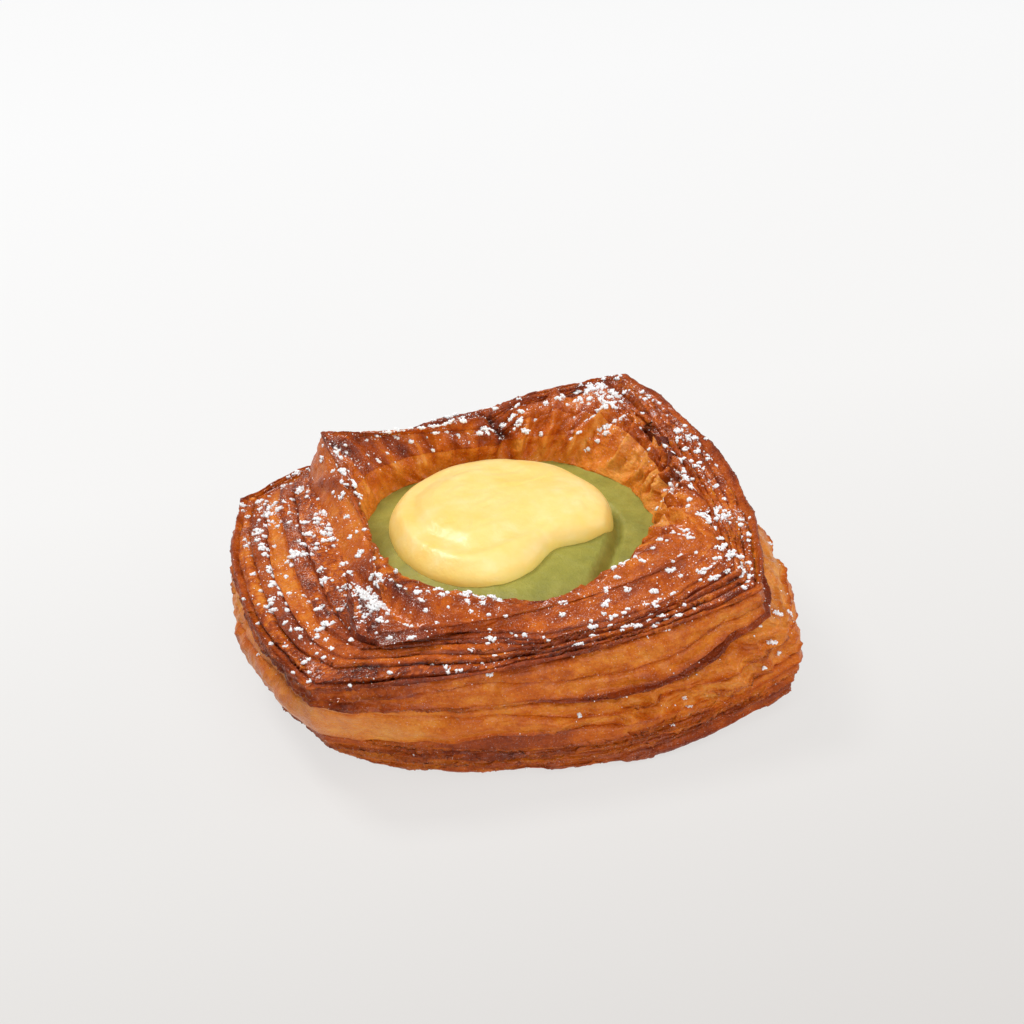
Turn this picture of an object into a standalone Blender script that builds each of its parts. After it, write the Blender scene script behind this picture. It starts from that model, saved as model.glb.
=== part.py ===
"""A danish pastry: a square case of laminated dough, folded in round a shallow well, with a disc of
pistachio cream in the well and a swirl of custard on the cream.

Metres, +Z up. The front side faces -Y, and the origin lies under the middle of the case, on the
surface that the pastry stands on. The case is a loft through a stack of closed rings, one for each
fold and edge of the dough, with the lips of the dough layers standing out between them.
"""

from collections import namedtuple

import bmesh
import bpy
import numpy as np

# Driving dimensions, in metres
WIDTH = 0.1150          # left to right, along X
DEPTH = 0.0910          # front to back, along Y
HEIGHT = 0.0405         # up to the raised back-left tip of the inner sheet
LIP_REACH = 0.0010      # how far a dough layer's edge stands out
LIP_GROOVE = 0.0008     # how deep the groove under it goes
GAP = 0.00035           # between one filling and what it lies on or in
WALL_GAP = 0.00045      # between the cream and the slanting wall of the well
CREAM_CROWN = 0.0026    # how much the cream's middle stands above its edge
CUSTARD_RISE = 0.0062   # thickness of the custard at its middle
CUSTARD_CENTRE = (0.0009, 0.0080)

MM = 0.001
SIDES = 4
COLUMNS = 30 * SIDES        # steps round the case, a whole number to each side
CUSTARD_STEPS = 48

# One closed ring of the case. corners holds front-left, front-right, back-right and back-left, each
# as (x, y, z). middles holds front, right, back and left, each as (bulge, z). x and y are shares of
# half the width and half the depth, z is a share of the height, and a bulge is a share of half the
# width. sharp is 1 for the crisp edge of a cut sheet and 0 for a round one, and layers is the
# number of dough layers up to the next ring.
Section = namedtuple("Section", "name corners middles sharp layers")

SECTIONS = (
    Section("foot",
            ((-0.62, -0.49, 0.00), (0.75, -0.75, 0.00), (0.71, 0.83, 0.00), (-0.59, 0.74, 0.00)),
            ((0.18, 0.00), (0.09, 0.00), (0.03, 0.00), (0.10, 0.00)), 0.5, 0),
    Section("base edge",
            ((-0.78, -0.57, 0.07), (0.84, -0.85, 0.10), (0.76, 0.92, 0.10), (-0.68, 0.81, 0.07)),
            ((0.22, 0.03), (0.10, 0.10), (0.03, 0.07), (0.12, 0.07)), 0.85, 2),
    Section("belly",
            ((-0.86, -0.61, 0.23), (0.88, -0.82, 0.28), (0.82, 0.97, 0.33), (-0.75, 0.88, 0.23)),
            ((0.21, 0.20), (0.15, 0.33), (0.02, 0.28), (0.14, 0.23)), 0.85, 2),
    Section("waist",
            ((-0.90, -0.66, 0.38), (0.83, -0.82, 0.44), (0.83, 0.99, 0.53), (-0.79, 0.91, 0.38)),
            ((0.18, 0.34), (0.16, 0.50), (0.00, 0.45), (0.13, 0.36)), 0.9, 1),
    Section("second sheet",
            ((-0.91, -0.74, 0.51), (0.75, -0.86, 0.56), (0.81, 1.00, 0.72), (-0.81, 0.92, 0.51)),
            ((0.12, 0.46), (0.11, 0.68), (0.00, 0.65), (0.10, 0.47)), 1.0, 1),
    Section("top sheet",
            ((-0.94, -0.80, 0.65), (0.70, -0.86, 0.74), (0.78, 1.00, 0.90), (-0.79, 0.93, 0.62)),
            ((0.08, 0.64), (0.15, 0.83), (-0.03, 0.86), (0.11, 0.59)), 1.0, 2),
    Section("frame",
            ((-0.82, -0.75, 0.72), (0.66, -0.73, 0.78), (0.71, 0.94, 0.91), (-0.66, 0.88, 0.67)),
            ((0.04, 0.70), (0.09, 0.86), (-0.03, 0.88), (0.09, 0.71)), 0.9, 3),
    Section("foot of the inner sheet",
            ((-0.68, -0.69, 0.75), (0.64, -0.60, 0.80), (0.66, 0.90, 0.91), (-0.55, 0.83, 0.75)),
            ((0.02, 0.72), (0.06, 0.86), (-0.02, 0.88), (0.00, 0.76)), 0.85, 0),
    Section("edge of the inner sheet",
            ((-0.65, -0.68, 0.80), (0.64, -0.53, 0.82), (0.64, 0.91, 0.94), (-0.50, 0.80, 1.00)),
            ((0.04, 0.75), (0.07, 0.88), (-0.02, 0.90), (-0.06, 0.85)), 0.95, 0),
    Section("rim",
            ((-0.50, -0.37, 0.81), (0.52, -0.35, 0.84), (0.58, 0.72, 0.90), (-0.43, 0.75, 0.95)),
            ((0.18, 0.76), (0.16, 0.88), (0.05, 0.86), (0.04, 0.85)), 0.2, 0),
    Section("wall of the well",
            ((-0.38, -0.33, 0.74), (0.44, -0.33, 0.75), (0.50, 0.66, 0.79), (-0.35, 0.66, 0.80)),
            ((0.17, 0.71), (0.17, 0.78), (0.08, 0.78), (0.14, 0.78)), 0.0, 0),
    Section("cream line",
            ((-0.31, -0.31, 0.65), (0.43, -0.31, 0.65), (0.44, 0.63, 0.65), (-0.31, 0.63, 0.65)),
            ((0.16, 0.65), (0.16, 0.65), (0.10, 0.65), (0.18, 0.65)), 0.0, 0),
    Section("floor of the well",
            ((-0.24, -0.22, 0.42), (0.36, -0.22, 0.42), (0.36, 0.54, 0.42), (-0.24, 0.54, 0.42)),
            ((0.14, 0.42), (0.14, 0.42), (0.12, 0.42), (0.14, 0.42)), 0.0, 0),
)
SECTION_AT = {section.name: index for index, section in enumerate(SECTIONS)}
GROOVE_PLACE = 0.55     # where a layer's groove lies, from its own edge at 0 to the next one at 1
CORNER_PINCH = 0.45     # share of a lip's reach that is lost where the layers press together
LIP_UNEVENNESS = 0.25   # how much a lip's reach waxes and wanes round the case
LIP_WAVES = 3           # how often it does so
LIP_TURN = 2.1          # how far each row's waves are turned from the last one's, in radians

# Dents and bumps of the dough: where round the case (0 to 4, front-left corner to front-left
# corner), at which ring, how wide each way, and how far it lifts the surface, in metres
Bump = namedtuple("Bump", "around ring spread_around spread_rings lift")

BUMPS = (
    Bump(2.36, "edge of the inner sheet", 0.035, 1.3, -0.0030),     # notch in the back rim
    Bump(2.16, "edge of the inner sheet", 0.025, 0.7, 0.0022),      # the peak beside it
    Bump(0.47, "rim", 0.100, 0.8, -0.0012),                         # dip in the front rim
    Bump(1.25, "belly", 0.150, 1.0, 0.0014),                        # puffed lobe, lower right
)
PLEATS = 13             # folds down the right-hand wall of the well
PLEAT_REACH = 0.0007
PLEATS_FROM, PLEATS_TO = 0.8, 2.3

# The cream's domed top: rings as shares of the way from its middle to its edge
CREAM_RINGS = (0.94, 0.72, 0.42)

# The custard's outline, as (degrees round, radius in mm): a lobe at the front left, a notch at the
# front right and the tail of the swirl beside it
CUSTARD_OUTLINE = ((-180, 23.0), (-150, 25.2), (-130, 26.8), (-112, 26.2), (-95, 22.6), (-78, 18.0),
                   (-64, 16.2), (-50, 19.2), (-38, 22.2), (-26, 24.2), (-10, 24.6), (0, 25.0), (20, 24.8),
                   (40, 25.8), (60, 24.5), (80, 23.1), (100, 23.0), (120, 22.2), (145, 22.6))
OUTLINE_ROUNDING = (-6, -2, 2, 6)       # degrees over which the outline is averaged
# The custard's rings, as (share of the radius, share of the rise): the underside, the rounded edge
# and the top
CUSTARD_PROFILE = ((0.45, 0.0), (0.93, 0.0), (1.0, 0.14), (0.985, 0.34), (0.93, 0.52),
                   (0.80, 0.70), (0.64, 0.82), (0.46, 0.91), (0.28, 0.97), (0.12, 1.0))
SWIRL_TURNS = 1.6
SWIRL_DEPTH = 0.0007
SWIRL_FROM = 0.6        # share of the rise above which the spoon's groove shows

DOUGH_COLOUR = (0.42, 0.15, 0.045)      # linear RGB
PISTACHIO_COLOUR = (0.30, 0.28, 0.09)
CUSTARD_COLOUR = (0.95, 0.70, 0.22)


def smooth_loop(points, around):
    """Positions on a smooth closed curve through the points, for a parameter from 0 to SIDES."""
    steps = np.mod(around, SIDES) * len(points) / SIDES
    index = np.floor(steps).astype(int)
    part = (steps - index)[:, None]
    before, start, end, after = (points[(index + shift) % len(points)] for shift in (-1, 0, 1, 2))
    return 0.5 * (2 * start + (end - before) * part
                  + (2 * before - 5 * start + 4 * end - after) * part ** 2
                  + (3 * start - before - 3 * end + after) * part ** 3)


def cornered_loop(points, around):
    """The same through corners and middles in turn, each side one arch from corner to corner."""
    side = np.floor(np.mod(around, SIDES)).astype(int)
    part = (np.mod(around, SIDES) - side)[:, None]
    start, middle, end = (points[(2 * side + shift) % len(points)] for shift in (0, 1, 2))
    return (start * (1 - part) * (1 - 2 * part) + middle * 4 * part * (1 - part)
            + end * part * (2 * part - 1))


def ring(section, around):
    """The ring of a section, in metres: one row of x, y, z for each value of around."""
    scale = np.array((WIDTH / 2, DEPTH / 2, HEIGHT))
    corners = np.array(section.corners) * scale
    following = np.roll(corners, -1, axis=0)
    run = following - corners
    outward = np.column_stack((run[:, 1], -run[:, 0])) / np.hypot(run[:, 0], run[:, 1])[:, None]
    bulge, height = np.array(section.middles).T
    middles = np.column_stack(((corners + following)[:, :2] / 2 + outward * bulge[:, None] * WIDTH / 2,
                               height * HEIGHT))
    points = np.empty((2 * SIDES, 3))
    points[0::2] = corners
    points[1::2] = middles
    return (cornered_loop(points, around) * section.sharp
            + smooth_loop(points, around) * (1 - section.sharp))


def case_rows():
    """Each row of the case as (place in the stack of sections, how far it stands out)."""
    rows = []
    for index, section in enumerate(SECTIONS):
        rows.append((float(index), LIP_REACH if section.layers else 0.0))
        for layer in range(section.layers):
            if layer:
                rows.append((index + layer / section.layers, LIP_REACH))
            rows.append((index + (layer + GROOVE_PLACE) / section.layers, -LIP_GROOVE))
    return rows


def stack_point(rings, place):
    """The ring at a place between two sections."""
    low = min(int(place), len(rings) - 2)
    return rings[low] + (rings[low + 1] - rings[low]) * (place - low)


def outward_normals(grid):
    """The unit normals of a grid of rings, pointing out of the case."""
    along = np.roll(grid, -1, axis=1) - np.roll(grid, 1, axis=1)
    up = np.gradient(grid, axis=0)
    normals = np.cross(along, up)
    return normals / np.linalg.norm(normals, axis=2)[:, :, None]


def relief(place, around):
    """How far bumps, dents and pleats lift the surface at a place in the stack."""
    lift = np.zeros_like(around)
    for bump in BUMPS:
        away = np.mod(around - bump.around + SIDES / 2, SIDES) - SIDES / 2
        rise = (place - SECTION_AT[bump.ring]) / bump.spread_rings
        lift += bump.lift * np.exp(-(away / bump.spread_around) ** 2 - rise ** 2)
    middle = (SECTION_AT["rim"] + SECTION_AT["wall of the well"]) / 2
    inside = max(0.0, 1 - abs(place - middle))
    share = np.clip((around - PLEATS_FROM) / (PLEATS_TO - PLEATS_FROM), 0, 1)
    lift += inside * PLEAT_REACH * np.sin(np.pi * share) * np.cos(2 * np.pi * PLEATS * share)
    return lift


def case_rings():
    """All rows of the case as an array of rings, from its foot to the floor of its well."""
    around = np.arange(COLUMNS) * SIDES / COLUMNS
    sections = [ring(section, around) for section in SECTIONS]
    rows = case_rows()
    grid = np.array([stack_point(sections, place) for place, reach in rows])
    flat_rows = (0, len(rows) - 1)
    normals = outward_normals(grid)
    # the layers press together at the corners and stand apart along the sides
    spread = 1 - CORNER_PINCH * (1 - np.abs(np.sin(np.pi * around)))
    turn = 2 * np.pi * around / SIDES
    for number, (place, reach) in enumerate(rows):
        if number in flat_rows:
            continue
        uneven = 1 + LIP_UNEVENNESS * np.sin(LIP_WAVES * turn + LIP_TURN * number)
        lift = reach * spread * uneven
        if place < SECTION_AT["cream line"]:
            lift = lift + relief(place, around)
        grid[number] += normals[number] * lift[:, None]
    return fitted(grid)


def fitted(grid):
    """The grid moved and scaled to be exactly as wide, deep and high as the pastry."""
    low = grid.reshape(-1, 3).min(axis=0)
    size = grid.reshape(-1, 3).max(axis=0) - low
    middle = low + size * (0.5, 0.5, 0.0)
    return (grid - middle) * (np.array((WIDTH, DEPTH, HEIGHT)) / size)


def cream_height(points, edge_ring):
    """The height of the cream's domed top over points, given the ring of its edge."""
    centre = edge_ring.mean(axis=0)
    radius = np.hypot(*(edge_ring - centre)[:, :2].T).mean()
    share = np.hypot(*(points[:, :2] - centre[:2]).T) / radius
    return edge_ring[:, 2].mean() + CREAM_CROWN * (1 - share ** 2)


def cream_rings(edge_ring, floor_ring):
    """The disc of cream, clear of the wall and floor of the well all round."""
    def drawn_in(points, distance):
        inward = points.mean(axis=0) - points
        inward[:, 2] = 0
        return points + inward * (distance / np.linalg.norm(inward, axis=1))[:, None]

    bottom = drawn_in(floor_ring, WALL_GAP)
    bottom[:, 2] += GAP
    edge = drawn_in(edge_ring, WALL_GAP)
    rings = [bottom, edge]
    for share in CREAM_RINGS:
        inner = edge.mean(axis=0) + (edge - edge.mean(axis=0)) * share
        inner[:, 2] = cream_height(inner, edge_ring)
        rings.append(inner)
    return rings


def custard_rings(edge_ring):
    """The custard: a blob with a rounded edge, a notch and a tail, and a groove that winds inwards."""
    degrees = np.linspace(-180, 180, CUSTARD_STEPS, endpoint=False)
    knots, radii = np.array(CUSTARD_OUTLINE, float).T
    turns = [np.interp(degrees + turn, knots, radii, period=360) for turn in OUTLINE_ROUNDING]
    radius = np.mean(turns, axis=0) * MM
    turn = np.radians(degrees)

    def at(share):
        return np.column_stack((CUSTARD_CENTRE[0] + np.cos(turn) * radius * share,
                                CUSTARD_CENTRE[1] + np.sin(turn) * radius * share, np.zeros_like(turn)))

    rings = []
    innermost = CUSTARD_PROFILE[-1][0]
    for share, rise in CUSTARD_PROFILE:
        points = at(share)
        points[:, 2] = cream_height(points, edge_ring) + GAP + CUSTARD_RISE * rise
        if rise > SWIRL_FROM:
            winding = turn + 2 * np.pi * SWIRL_TURNS * (share - innermost)
            points[:, 2] -= SWIRL_DEPTH * (0.5 + 0.5 * np.cos(winding)) * np.sin(np.pi * share)
        rings.append(points)
    return rings


def food_material(name, colour, roughness):
    """A plain Principled material in the food's colour, given as linear RGB."""
    material = bpy.data.materials.new(name)
    material.use_nodes = True
    shader = material.node_tree.nodes["Principled BSDF"]
    shader.inputs["Base Color"].default_value = (*colour, 1.0)
    shader.inputs["Roughness"].default_value = roughness
    shader.inputs["Metallic"].default_value = 0.0
    return material


def loft(name, rings, material):
    """One closed body through the rings, with its first and last ring closed flat."""
    body = bmesh.new()
    loops = [[body.verts.new(point) for point in points] for points in rings]
    for low, high in zip(loops, loops[1:]):
        for step in range(len(low)):
            after = (step + 1) % len(low)
            body.faces.new((low[step], low[after], high[after], high[step]))
    body.faces.new(loops[0])
    body.faces.new(loops[-1])
    bmesh.ops.triangulate(body, faces=body.faces[:], quad_method="SHORT_EDGE")
    bmesh.ops.recalc_face_normals(body, faces=body.faces[:])
    mesh = bpy.data.meshes.new(name)
    body.to_mesh(mesh)
    body.free()
    mesh.materials.append(material)
    piece = bpy.data.objects.new(name, mesh)
    bpy.context.scene.collection.objects.link(piece)
    return piece


def main():
    for leftover in list(bpy.data.objects):
        bpy.data.objects.remove(leftover, do_unlink=True)
    case = case_rings()
    floor_ring = case[-1]
    edge_ring = case[-2]
    loft("dough_case", case, food_material("baked_dough", DOUGH_COLOUR, 0.45))
    loft("pistachio_cream", cream_rings(edge_ring, floor_ring),
         food_material("pistachio_cream", PISTACHIO_COLOUR, 0.5))
    loft("custard_swirl", custard_rings(edge_ring),
         food_material("custard", CUSTARD_COLOUR, 0.35))


main()
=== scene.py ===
from collections import namedtuple
from math import cos, pi, radians, sin, tau

import bpy
import numpy as np
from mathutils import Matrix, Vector


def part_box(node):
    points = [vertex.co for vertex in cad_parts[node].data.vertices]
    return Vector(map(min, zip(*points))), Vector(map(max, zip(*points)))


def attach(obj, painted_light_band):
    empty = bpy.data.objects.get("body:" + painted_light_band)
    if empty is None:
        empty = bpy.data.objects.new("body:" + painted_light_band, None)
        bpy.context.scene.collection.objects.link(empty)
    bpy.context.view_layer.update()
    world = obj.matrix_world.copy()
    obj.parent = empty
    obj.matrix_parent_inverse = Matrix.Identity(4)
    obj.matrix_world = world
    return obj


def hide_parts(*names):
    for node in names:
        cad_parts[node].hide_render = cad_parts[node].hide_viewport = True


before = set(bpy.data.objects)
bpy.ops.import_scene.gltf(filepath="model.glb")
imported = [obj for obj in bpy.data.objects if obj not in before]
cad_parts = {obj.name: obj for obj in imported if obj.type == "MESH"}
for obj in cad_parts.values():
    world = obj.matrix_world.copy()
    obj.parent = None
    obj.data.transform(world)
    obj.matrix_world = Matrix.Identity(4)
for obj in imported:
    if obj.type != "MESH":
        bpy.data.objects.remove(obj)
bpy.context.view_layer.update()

MM = 0.001
SIDES = 4
LIP_GAIN = 1.6

# ----------------------------------------------------------------------------------------------
# Sizes, from the frame
# ----------------------------------------------------------------------------------------------
CASE_LOW, CASE_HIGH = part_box("dough_case")
CREAM_LOW, CREAM_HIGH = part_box("pistachio_cream")
CUSTARD_LOW, CUSTARD_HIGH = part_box("custard_swirl")
CASE_MIDDLE = (CASE_LOW + CASE_HIGH) / 2
LIP_ROOM = 0.5 * MM                     # kept free of the box for the lips of the layers
HALF_WIDTH = (CASE_HIGH.x - CASE_LOW.x) / 2 - LIP_ROOM
HALF_DEPTH = (CASE_HIGH.y - CASE_LOW.y) / 2 - LIP_ROOM
HEIGHT = CASE_HIGH.z - CASE_LOW.z
PERIMETER = 3.4 * (HALF_WIDTH + HALF_DEPTH)
CASE_COLUMNS = 720
CASE_LEVELS = 2                         # simple subdivisions from the extruded tube to the fine mesh

# The rings of the case, as in the solid: corners are front-left, front-right, back-right and
# back-left as (x, y, z), middles are front, right, back and left as (bulge, z), in shares of half
# the width, half the depth and the height. sharp is 1 for a cut sheet's edge and 0 for a round ring.
Section = namedtuple("Section", "name corners middles sharp creased")

SECTIONS = (
    Section("foot",
            ((-0.62, -0.49, 0.00), (0.75, -0.75, 0.00), (0.71, 0.83, 0.00), (-0.59, 0.74, 0.00)),
            ((0.18, 0.00), (0.09, 0.00), (0.03, 0.00), (0.10, 0.00)), 0.5, True),
    Section("base edge",
            ((-0.78, -0.57, 0.07), (0.84, -0.85, 0.10), (0.76, 0.92, 0.10), (-0.68, 0.81, 0.07)),
            ((0.22, 0.03), (0.10, 0.10), (0.03, 0.07), (0.12, 0.07)), 0.85, True),
    Section("belly",
            ((-0.86, -0.61, 0.23), (0.88, -0.82, 0.28), (0.82, 0.97, 0.33), (-0.75, 0.88, 0.23)),
            ((0.21, 0.20), (0.15, 0.33), (0.02, 0.28), (0.14, 0.23)), 0.85, False),
    Section("waist",
            ((-0.90, -0.66, 0.38), (0.83, -0.82, 0.44), (0.83, 0.99, 0.53), (-0.79, 0.91, 0.38)),
            ((0.18, 0.34), (0.16, 0.50), (0.00, 0.45), (0.13, 0.36)), 0.9, False),
    Section("second sheet",
            ((-0.91, -0.74, 0.51), (0.75, -0.86, 0.56), (0.81, 1.00, 0.72), (-0.81, 0.92, 0.51)),
            ((0.12, 0.46), (0.11, 0.68), (0.00, 0.65), (0.10, 0.47)), 1.0, False),
    Section("top sheet",
            ((-0.94, -0.80, 0.65), (0.70, -0.86, 0.74), (0.78, 1.00, 0.90), (-0.79, 0.93, 0.62)),
            ((0.08, 0.64), (0.15, 0.83), (-0.03, 0.86), (0.11, 0.59)), 1.0, True),
    Section("frame",
            ((-0.82, -0.75, 0.72), (0.66, -0.73, 0.78), (0.71, 0.94, 0.91), (-0.66, 0.88, 0.67)),
            ((0.04, 0.70), (0.09, 0.86), (-0.03, 0.88), (0.09, 0.71)), 0.9, False),
    Section("foot of the inner sheet",
            ((-0.68, -0.69, 0.75), (0.64, -0.60, 0.80), (0.66, 0.90, 0.91), (-0.55, 0.83, 0.75)),
            ((0.02, 0.72), (0.06, 0.86), (-0.02, 0.88), (0.00, 0.76)), 0.85, True),
    Section("edge of the inner sheet",
            ((-0.65, -0.68, 0.80), (0.64, -0.53, 0.82), (0.64, 0.91, 0.94), (-0.50, 0.80, 1.00)),
            ((0.04, 0.75), (0.07, 0.88), (-0.02, 0.90), (-0.06, 0.85)), 0.95, True),
    Section("rim",
            ((-0.50, -0.37, 0.81), (0.52, -0.35, 0.84), (0.58, 0.72, 0.90), (-0.43, 0.75, 0.95)),
            ((0.18, 0.76), (0.16, 0.88), (0.05, 0.86), (0.04, 0.85)), 0.2, False),
    Section("wall of the well",
            ((-0.38, -0.33, 0.74), (0.44, -0.33, 0.75), (0.50, 0.66, 0.79), (-0.35, 0.66, 0.80)),
            ((0.17, 0.71), (0.17, 0.78), (0.08, 0.78), (0.14, 0.78)), 0.0, False),
    Section("cream line",
            ((-0.31, -0.31, 0.65), (0.43, -0.31, 0.65), (0.44, 0.63, 0.65), (-0.31, 0.63, 0.65)),
            ((0.16, 0.65), (0.16, 0.65), (0.10, 0.65), (0.18, 0.65)), 0.0, False),
    Section("floor of the well",
            ((-0.24, -0.22, 0.42), (0.36, -0.22, 0.42), (0.36, 0.54, 0.42), (-0.24, 0.54, 0.42)),
            ((0.14, 0.42), (0.14, 0.42), (0.12, 0.42), (0.14, 0.42)), 0.0, True),
)
AT = {section.name: float(index) for index, section in enumerate(SECTIONS)}

# The layers of dough, from the bottom up. Each starts at an edge that runs all the way round, at the
# place among the sections that `at` gives. A value is either one number or (around, value) knots,
# with around from 0 at the front-left corner through front, right, back and left to 4.
# reach: how far the edge stands out, mm. lip: how thick the edge is, mm. swell: how far the band
# above it puffs out, mm. undercut: how far the band draws in under the next edge, mm, where it is
# also darker, partly real browning and partly painted shade. tone: how brown it bakes, 0 straw to
# 1 nearly black. porous: open crumb. crease: soft folds up and down.
# crumple: wrinkled skin. stripes: fine cut layers. sugar: how thick the sugar lies.
Layer = namedtuple("Layer", "at reach lip swell undercut tone porous crease crumple stripes sugar",
                   defaults=(0.5, 0.2, 0.4, 0.5, 0.3, 0.0, 0.0, 0.5, 0.05))

# the strong lip that runs down from the front-right corner and fades out along the front
SECOND_LIP = ((0, 4.2), (.07, 4.15), (.12, 4.03), (.25, 3.85), (.35, 3.8), (.44, 3.85), (.5, 3.65),
              (.56, 3.45), (.65, 3.4), (.75, 3.45), (.83, 3.8), (.9, 4.1), (.95, 4.02), (1, 4.2),
              (1.1, 3.9), (1.5, 3.7), (2, 4.0), (3, 4.0), (3.6, 4.1), (3.9, 4.2))
SIDE_LAYERS = (
    Layer(0.0, 0.0, 0.3, 0.0, 0.0, 0.7, 0.2),
    Layer(1.0, 0.3, 0.35, 0.1, 0.35, ((0, .45), (.1, .35), (.3, .5), (1, .6), (3, .55)), 0.3),
    Layer(((0, 1.14), (.1, 1.25), (.3, 1.2), (.5, 1.22), (.7, 1.27), (.9, 1.3), (2, 1.3), (3, 1.2),
           (3.6, 1.15)), 0.45, 0.35, 0.15, 0.45, ((0, .4), (.15, .4), (.4, .5), (1, .5), (3, .5)), 0.3),
    Layer(((0, 1.4), (.1, 1.55), (.2, 1.58), (.3, 1.42), (.5, 1.42), (.7, 1.47), (.9, 1.5), (2, 1.55),
           (3, 1.45), (3.6, 1.35)),
          ((0, .5), (.2, .7), (.3, .2), (.42, .2), (.5, .5), (3.5, .5)), 0.35, 0.2, 0.4,
          ((0, .4), (.1, .45), (.15, .6), (.42, .6), (.5, .45), (1, .45), (3.6, .45)), 0.2),
    Layer(((0, 1.7), (.1, 1.78), (.25, 1.75), (.45, 1.68), (.6, 1.66), (.75, 1.75), (.95, 1.78),
           (1.5, 1.85), (2, 1.85), (3, 1.8), (3.6, 1.65)),
          ((0, .4), (.08, .2), (.15, .0), (.43, .0), (.52, .6), (3.5, .5)), 0.35, 0.1, 0.7,
          ((0, .4), (.08, .45), (.15, .6), (.45, .58), (.55, .38), (1, .35), (3.6, .4)),
          ((0, .3), (.15, .05), (.4, .05), (.6, .4), (3.8, .4)), stripes=0.3),
    Layer(((0, 2.0), (.1, 1.95), (.2, 2.25), (.35, 2.5), (.48, 2.42), (.58, 2.15), (.75, 2.1),
           (.95, 2.1), (1.5, 2.2), (2, 2.3), (3, 2.3), (3.6, 2.05)),
          ((0, .0), (.1, .1), (.2, .5), (.5, .6), (.6, .3), (1, .3), (3, .3)), 0.3,
          ((0, .8), (.2, 1.2), (.4, 1.0), (.6, .6), (1, .3), (3, .6)), 0.25,
          ((0, .25), (.1, .24), (.3, .30), (.6, .30), (1, .20), (1.5, .22), (3, .3), (3.8, .25)),
          ((0, .1), (.3, .3), (.6, .5), (3, .4)), 1.0,
          ((0, .0), (.4, .2), (.6, 1.1), (.85, 1.6), (.98, 1.3), (1.08, .5), (2, .4), (3, .5), (3.7, .2)), 0.2, 0.08),
    Layer(((0, 3.85), (.12, 3.7), (.25, 3.5), (.38, 3.35), (.47, 3.0), (.55, 2.66), (.65, 2.62),
           (.73, 2.85), (.8, 2.72), (.9, 2.75), (1, 2.7), (1.5, 2.9), (2.5, 3.0), (3.3, 3.1), (3.8, 3.7)),
          ((0, .0), (.42, .0), (.52, .5), (.9, .7), (1.2, .5), (1.8, .4), (3.2, .4), (3.6, .0)), 0.4,
          ((0, .1), (.4, .2), (.6, .6), (1, .2), (2, .6), (3, .5)),
          ((0, .5), (.42, .4), (.5, .9), (1, 1.0), (1.2, .5), (3, .5)),
          ((0, .2), (.3, .32), (.6, .28), (1, .18), (2, .26), (3, .3)), ((0, .1), (.3, .4), (3, .4)), 0.9,
          ((0, .0), (.4, .1), (.6, .8), (.85, 1.5), (.98, 1.2), (1.08, .5), (2, .4), (3, .4), (3.7, .0)), 0.1, 0.1),
    Layer(SECOND_LIP,
          ((0, .8), (.12, .7), (.25, .4), (.36, .1), (.44, .3), (.5, 1.1), (.7, 1.6), (.9, 1.6),
           (1, 1.1), (1.2, .7), (2, .6), (3, .5), (3.6, .5)), 0.5, 0.0, 0.0,
          ((0, .55), (.3, .45), (.42, .4), (.5, .64), (1.05, .66), (1.3, .5), (3, .45), (3.8, .55)),
          ((0, .6), (.3, .2), (1, .2), (3, .5)), 0.4, 0.2, 0.1),
    Layer(tuple((around, place + 0.14) for around, place in SECOND_LIP),
          ((0, .8), (.12, .7), (.25, .4), (.36, .1), (.44, .2), (.5, .5), (.7, .6), (.9, .6),
           (1, .5), (1.2, .4), (2, .4), (3, .4), (3.6, .4)), 0.6,
          ((0, -.9), (.12, -.7), (.25, .1), (.4, .5), (.7, .4), (1, .2), (2, .3), (3.5, .1), (3.8, -.7)),
          0.3, ((0, .52), (.1, .48), (.2, .40), (.32, .34), (.6, .32), (.9, .32), (1, .36), (1.2, .42),
                (2, .45), (3, .4), (3.8, .5)),
          ((0, .6), (.3, .3), (1, .3), (3, .6)), 0.9, 0.3, 0.2, ((0, .0), (.45, .1), (.55, .5), (.65, .1),
                                                                 (3, .1))),
    Layer(((0, 4.55), (.2, 4.6), (.35, 4.75), (.5, 4.4), (.62, 4.22), (.75, 4.25), (.88, 4.6), (1, 4.65),
           (1.5, 4.5), (2.5, 4.5), (3.5, 4.55)),
          ((0, .6), (.15, .5), (.3, .1), (1, .2), (3, .0), (3.7, .1), (3.9, .5)), 0.4,
          ((0, -.5), (.2, -.1), (.4, .3), (.8, .5), (1, .1), (3, .1), (3.8, -.4)), 0.3,
          ((0, .52), (.15, .46), (.3, .38), (.6, .34), (.9, .34), (1, .38), (1.2, .42), (3, .4), (3.8, .5)),
          ((0, .6), (.3, .4), (1, .4), (3, .7)), 0.9, 0.3, 0.2, 0.1),
    Layer(4.97, -0.9, 0.4, 0.0, 0.0, 0.6),
)
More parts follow.
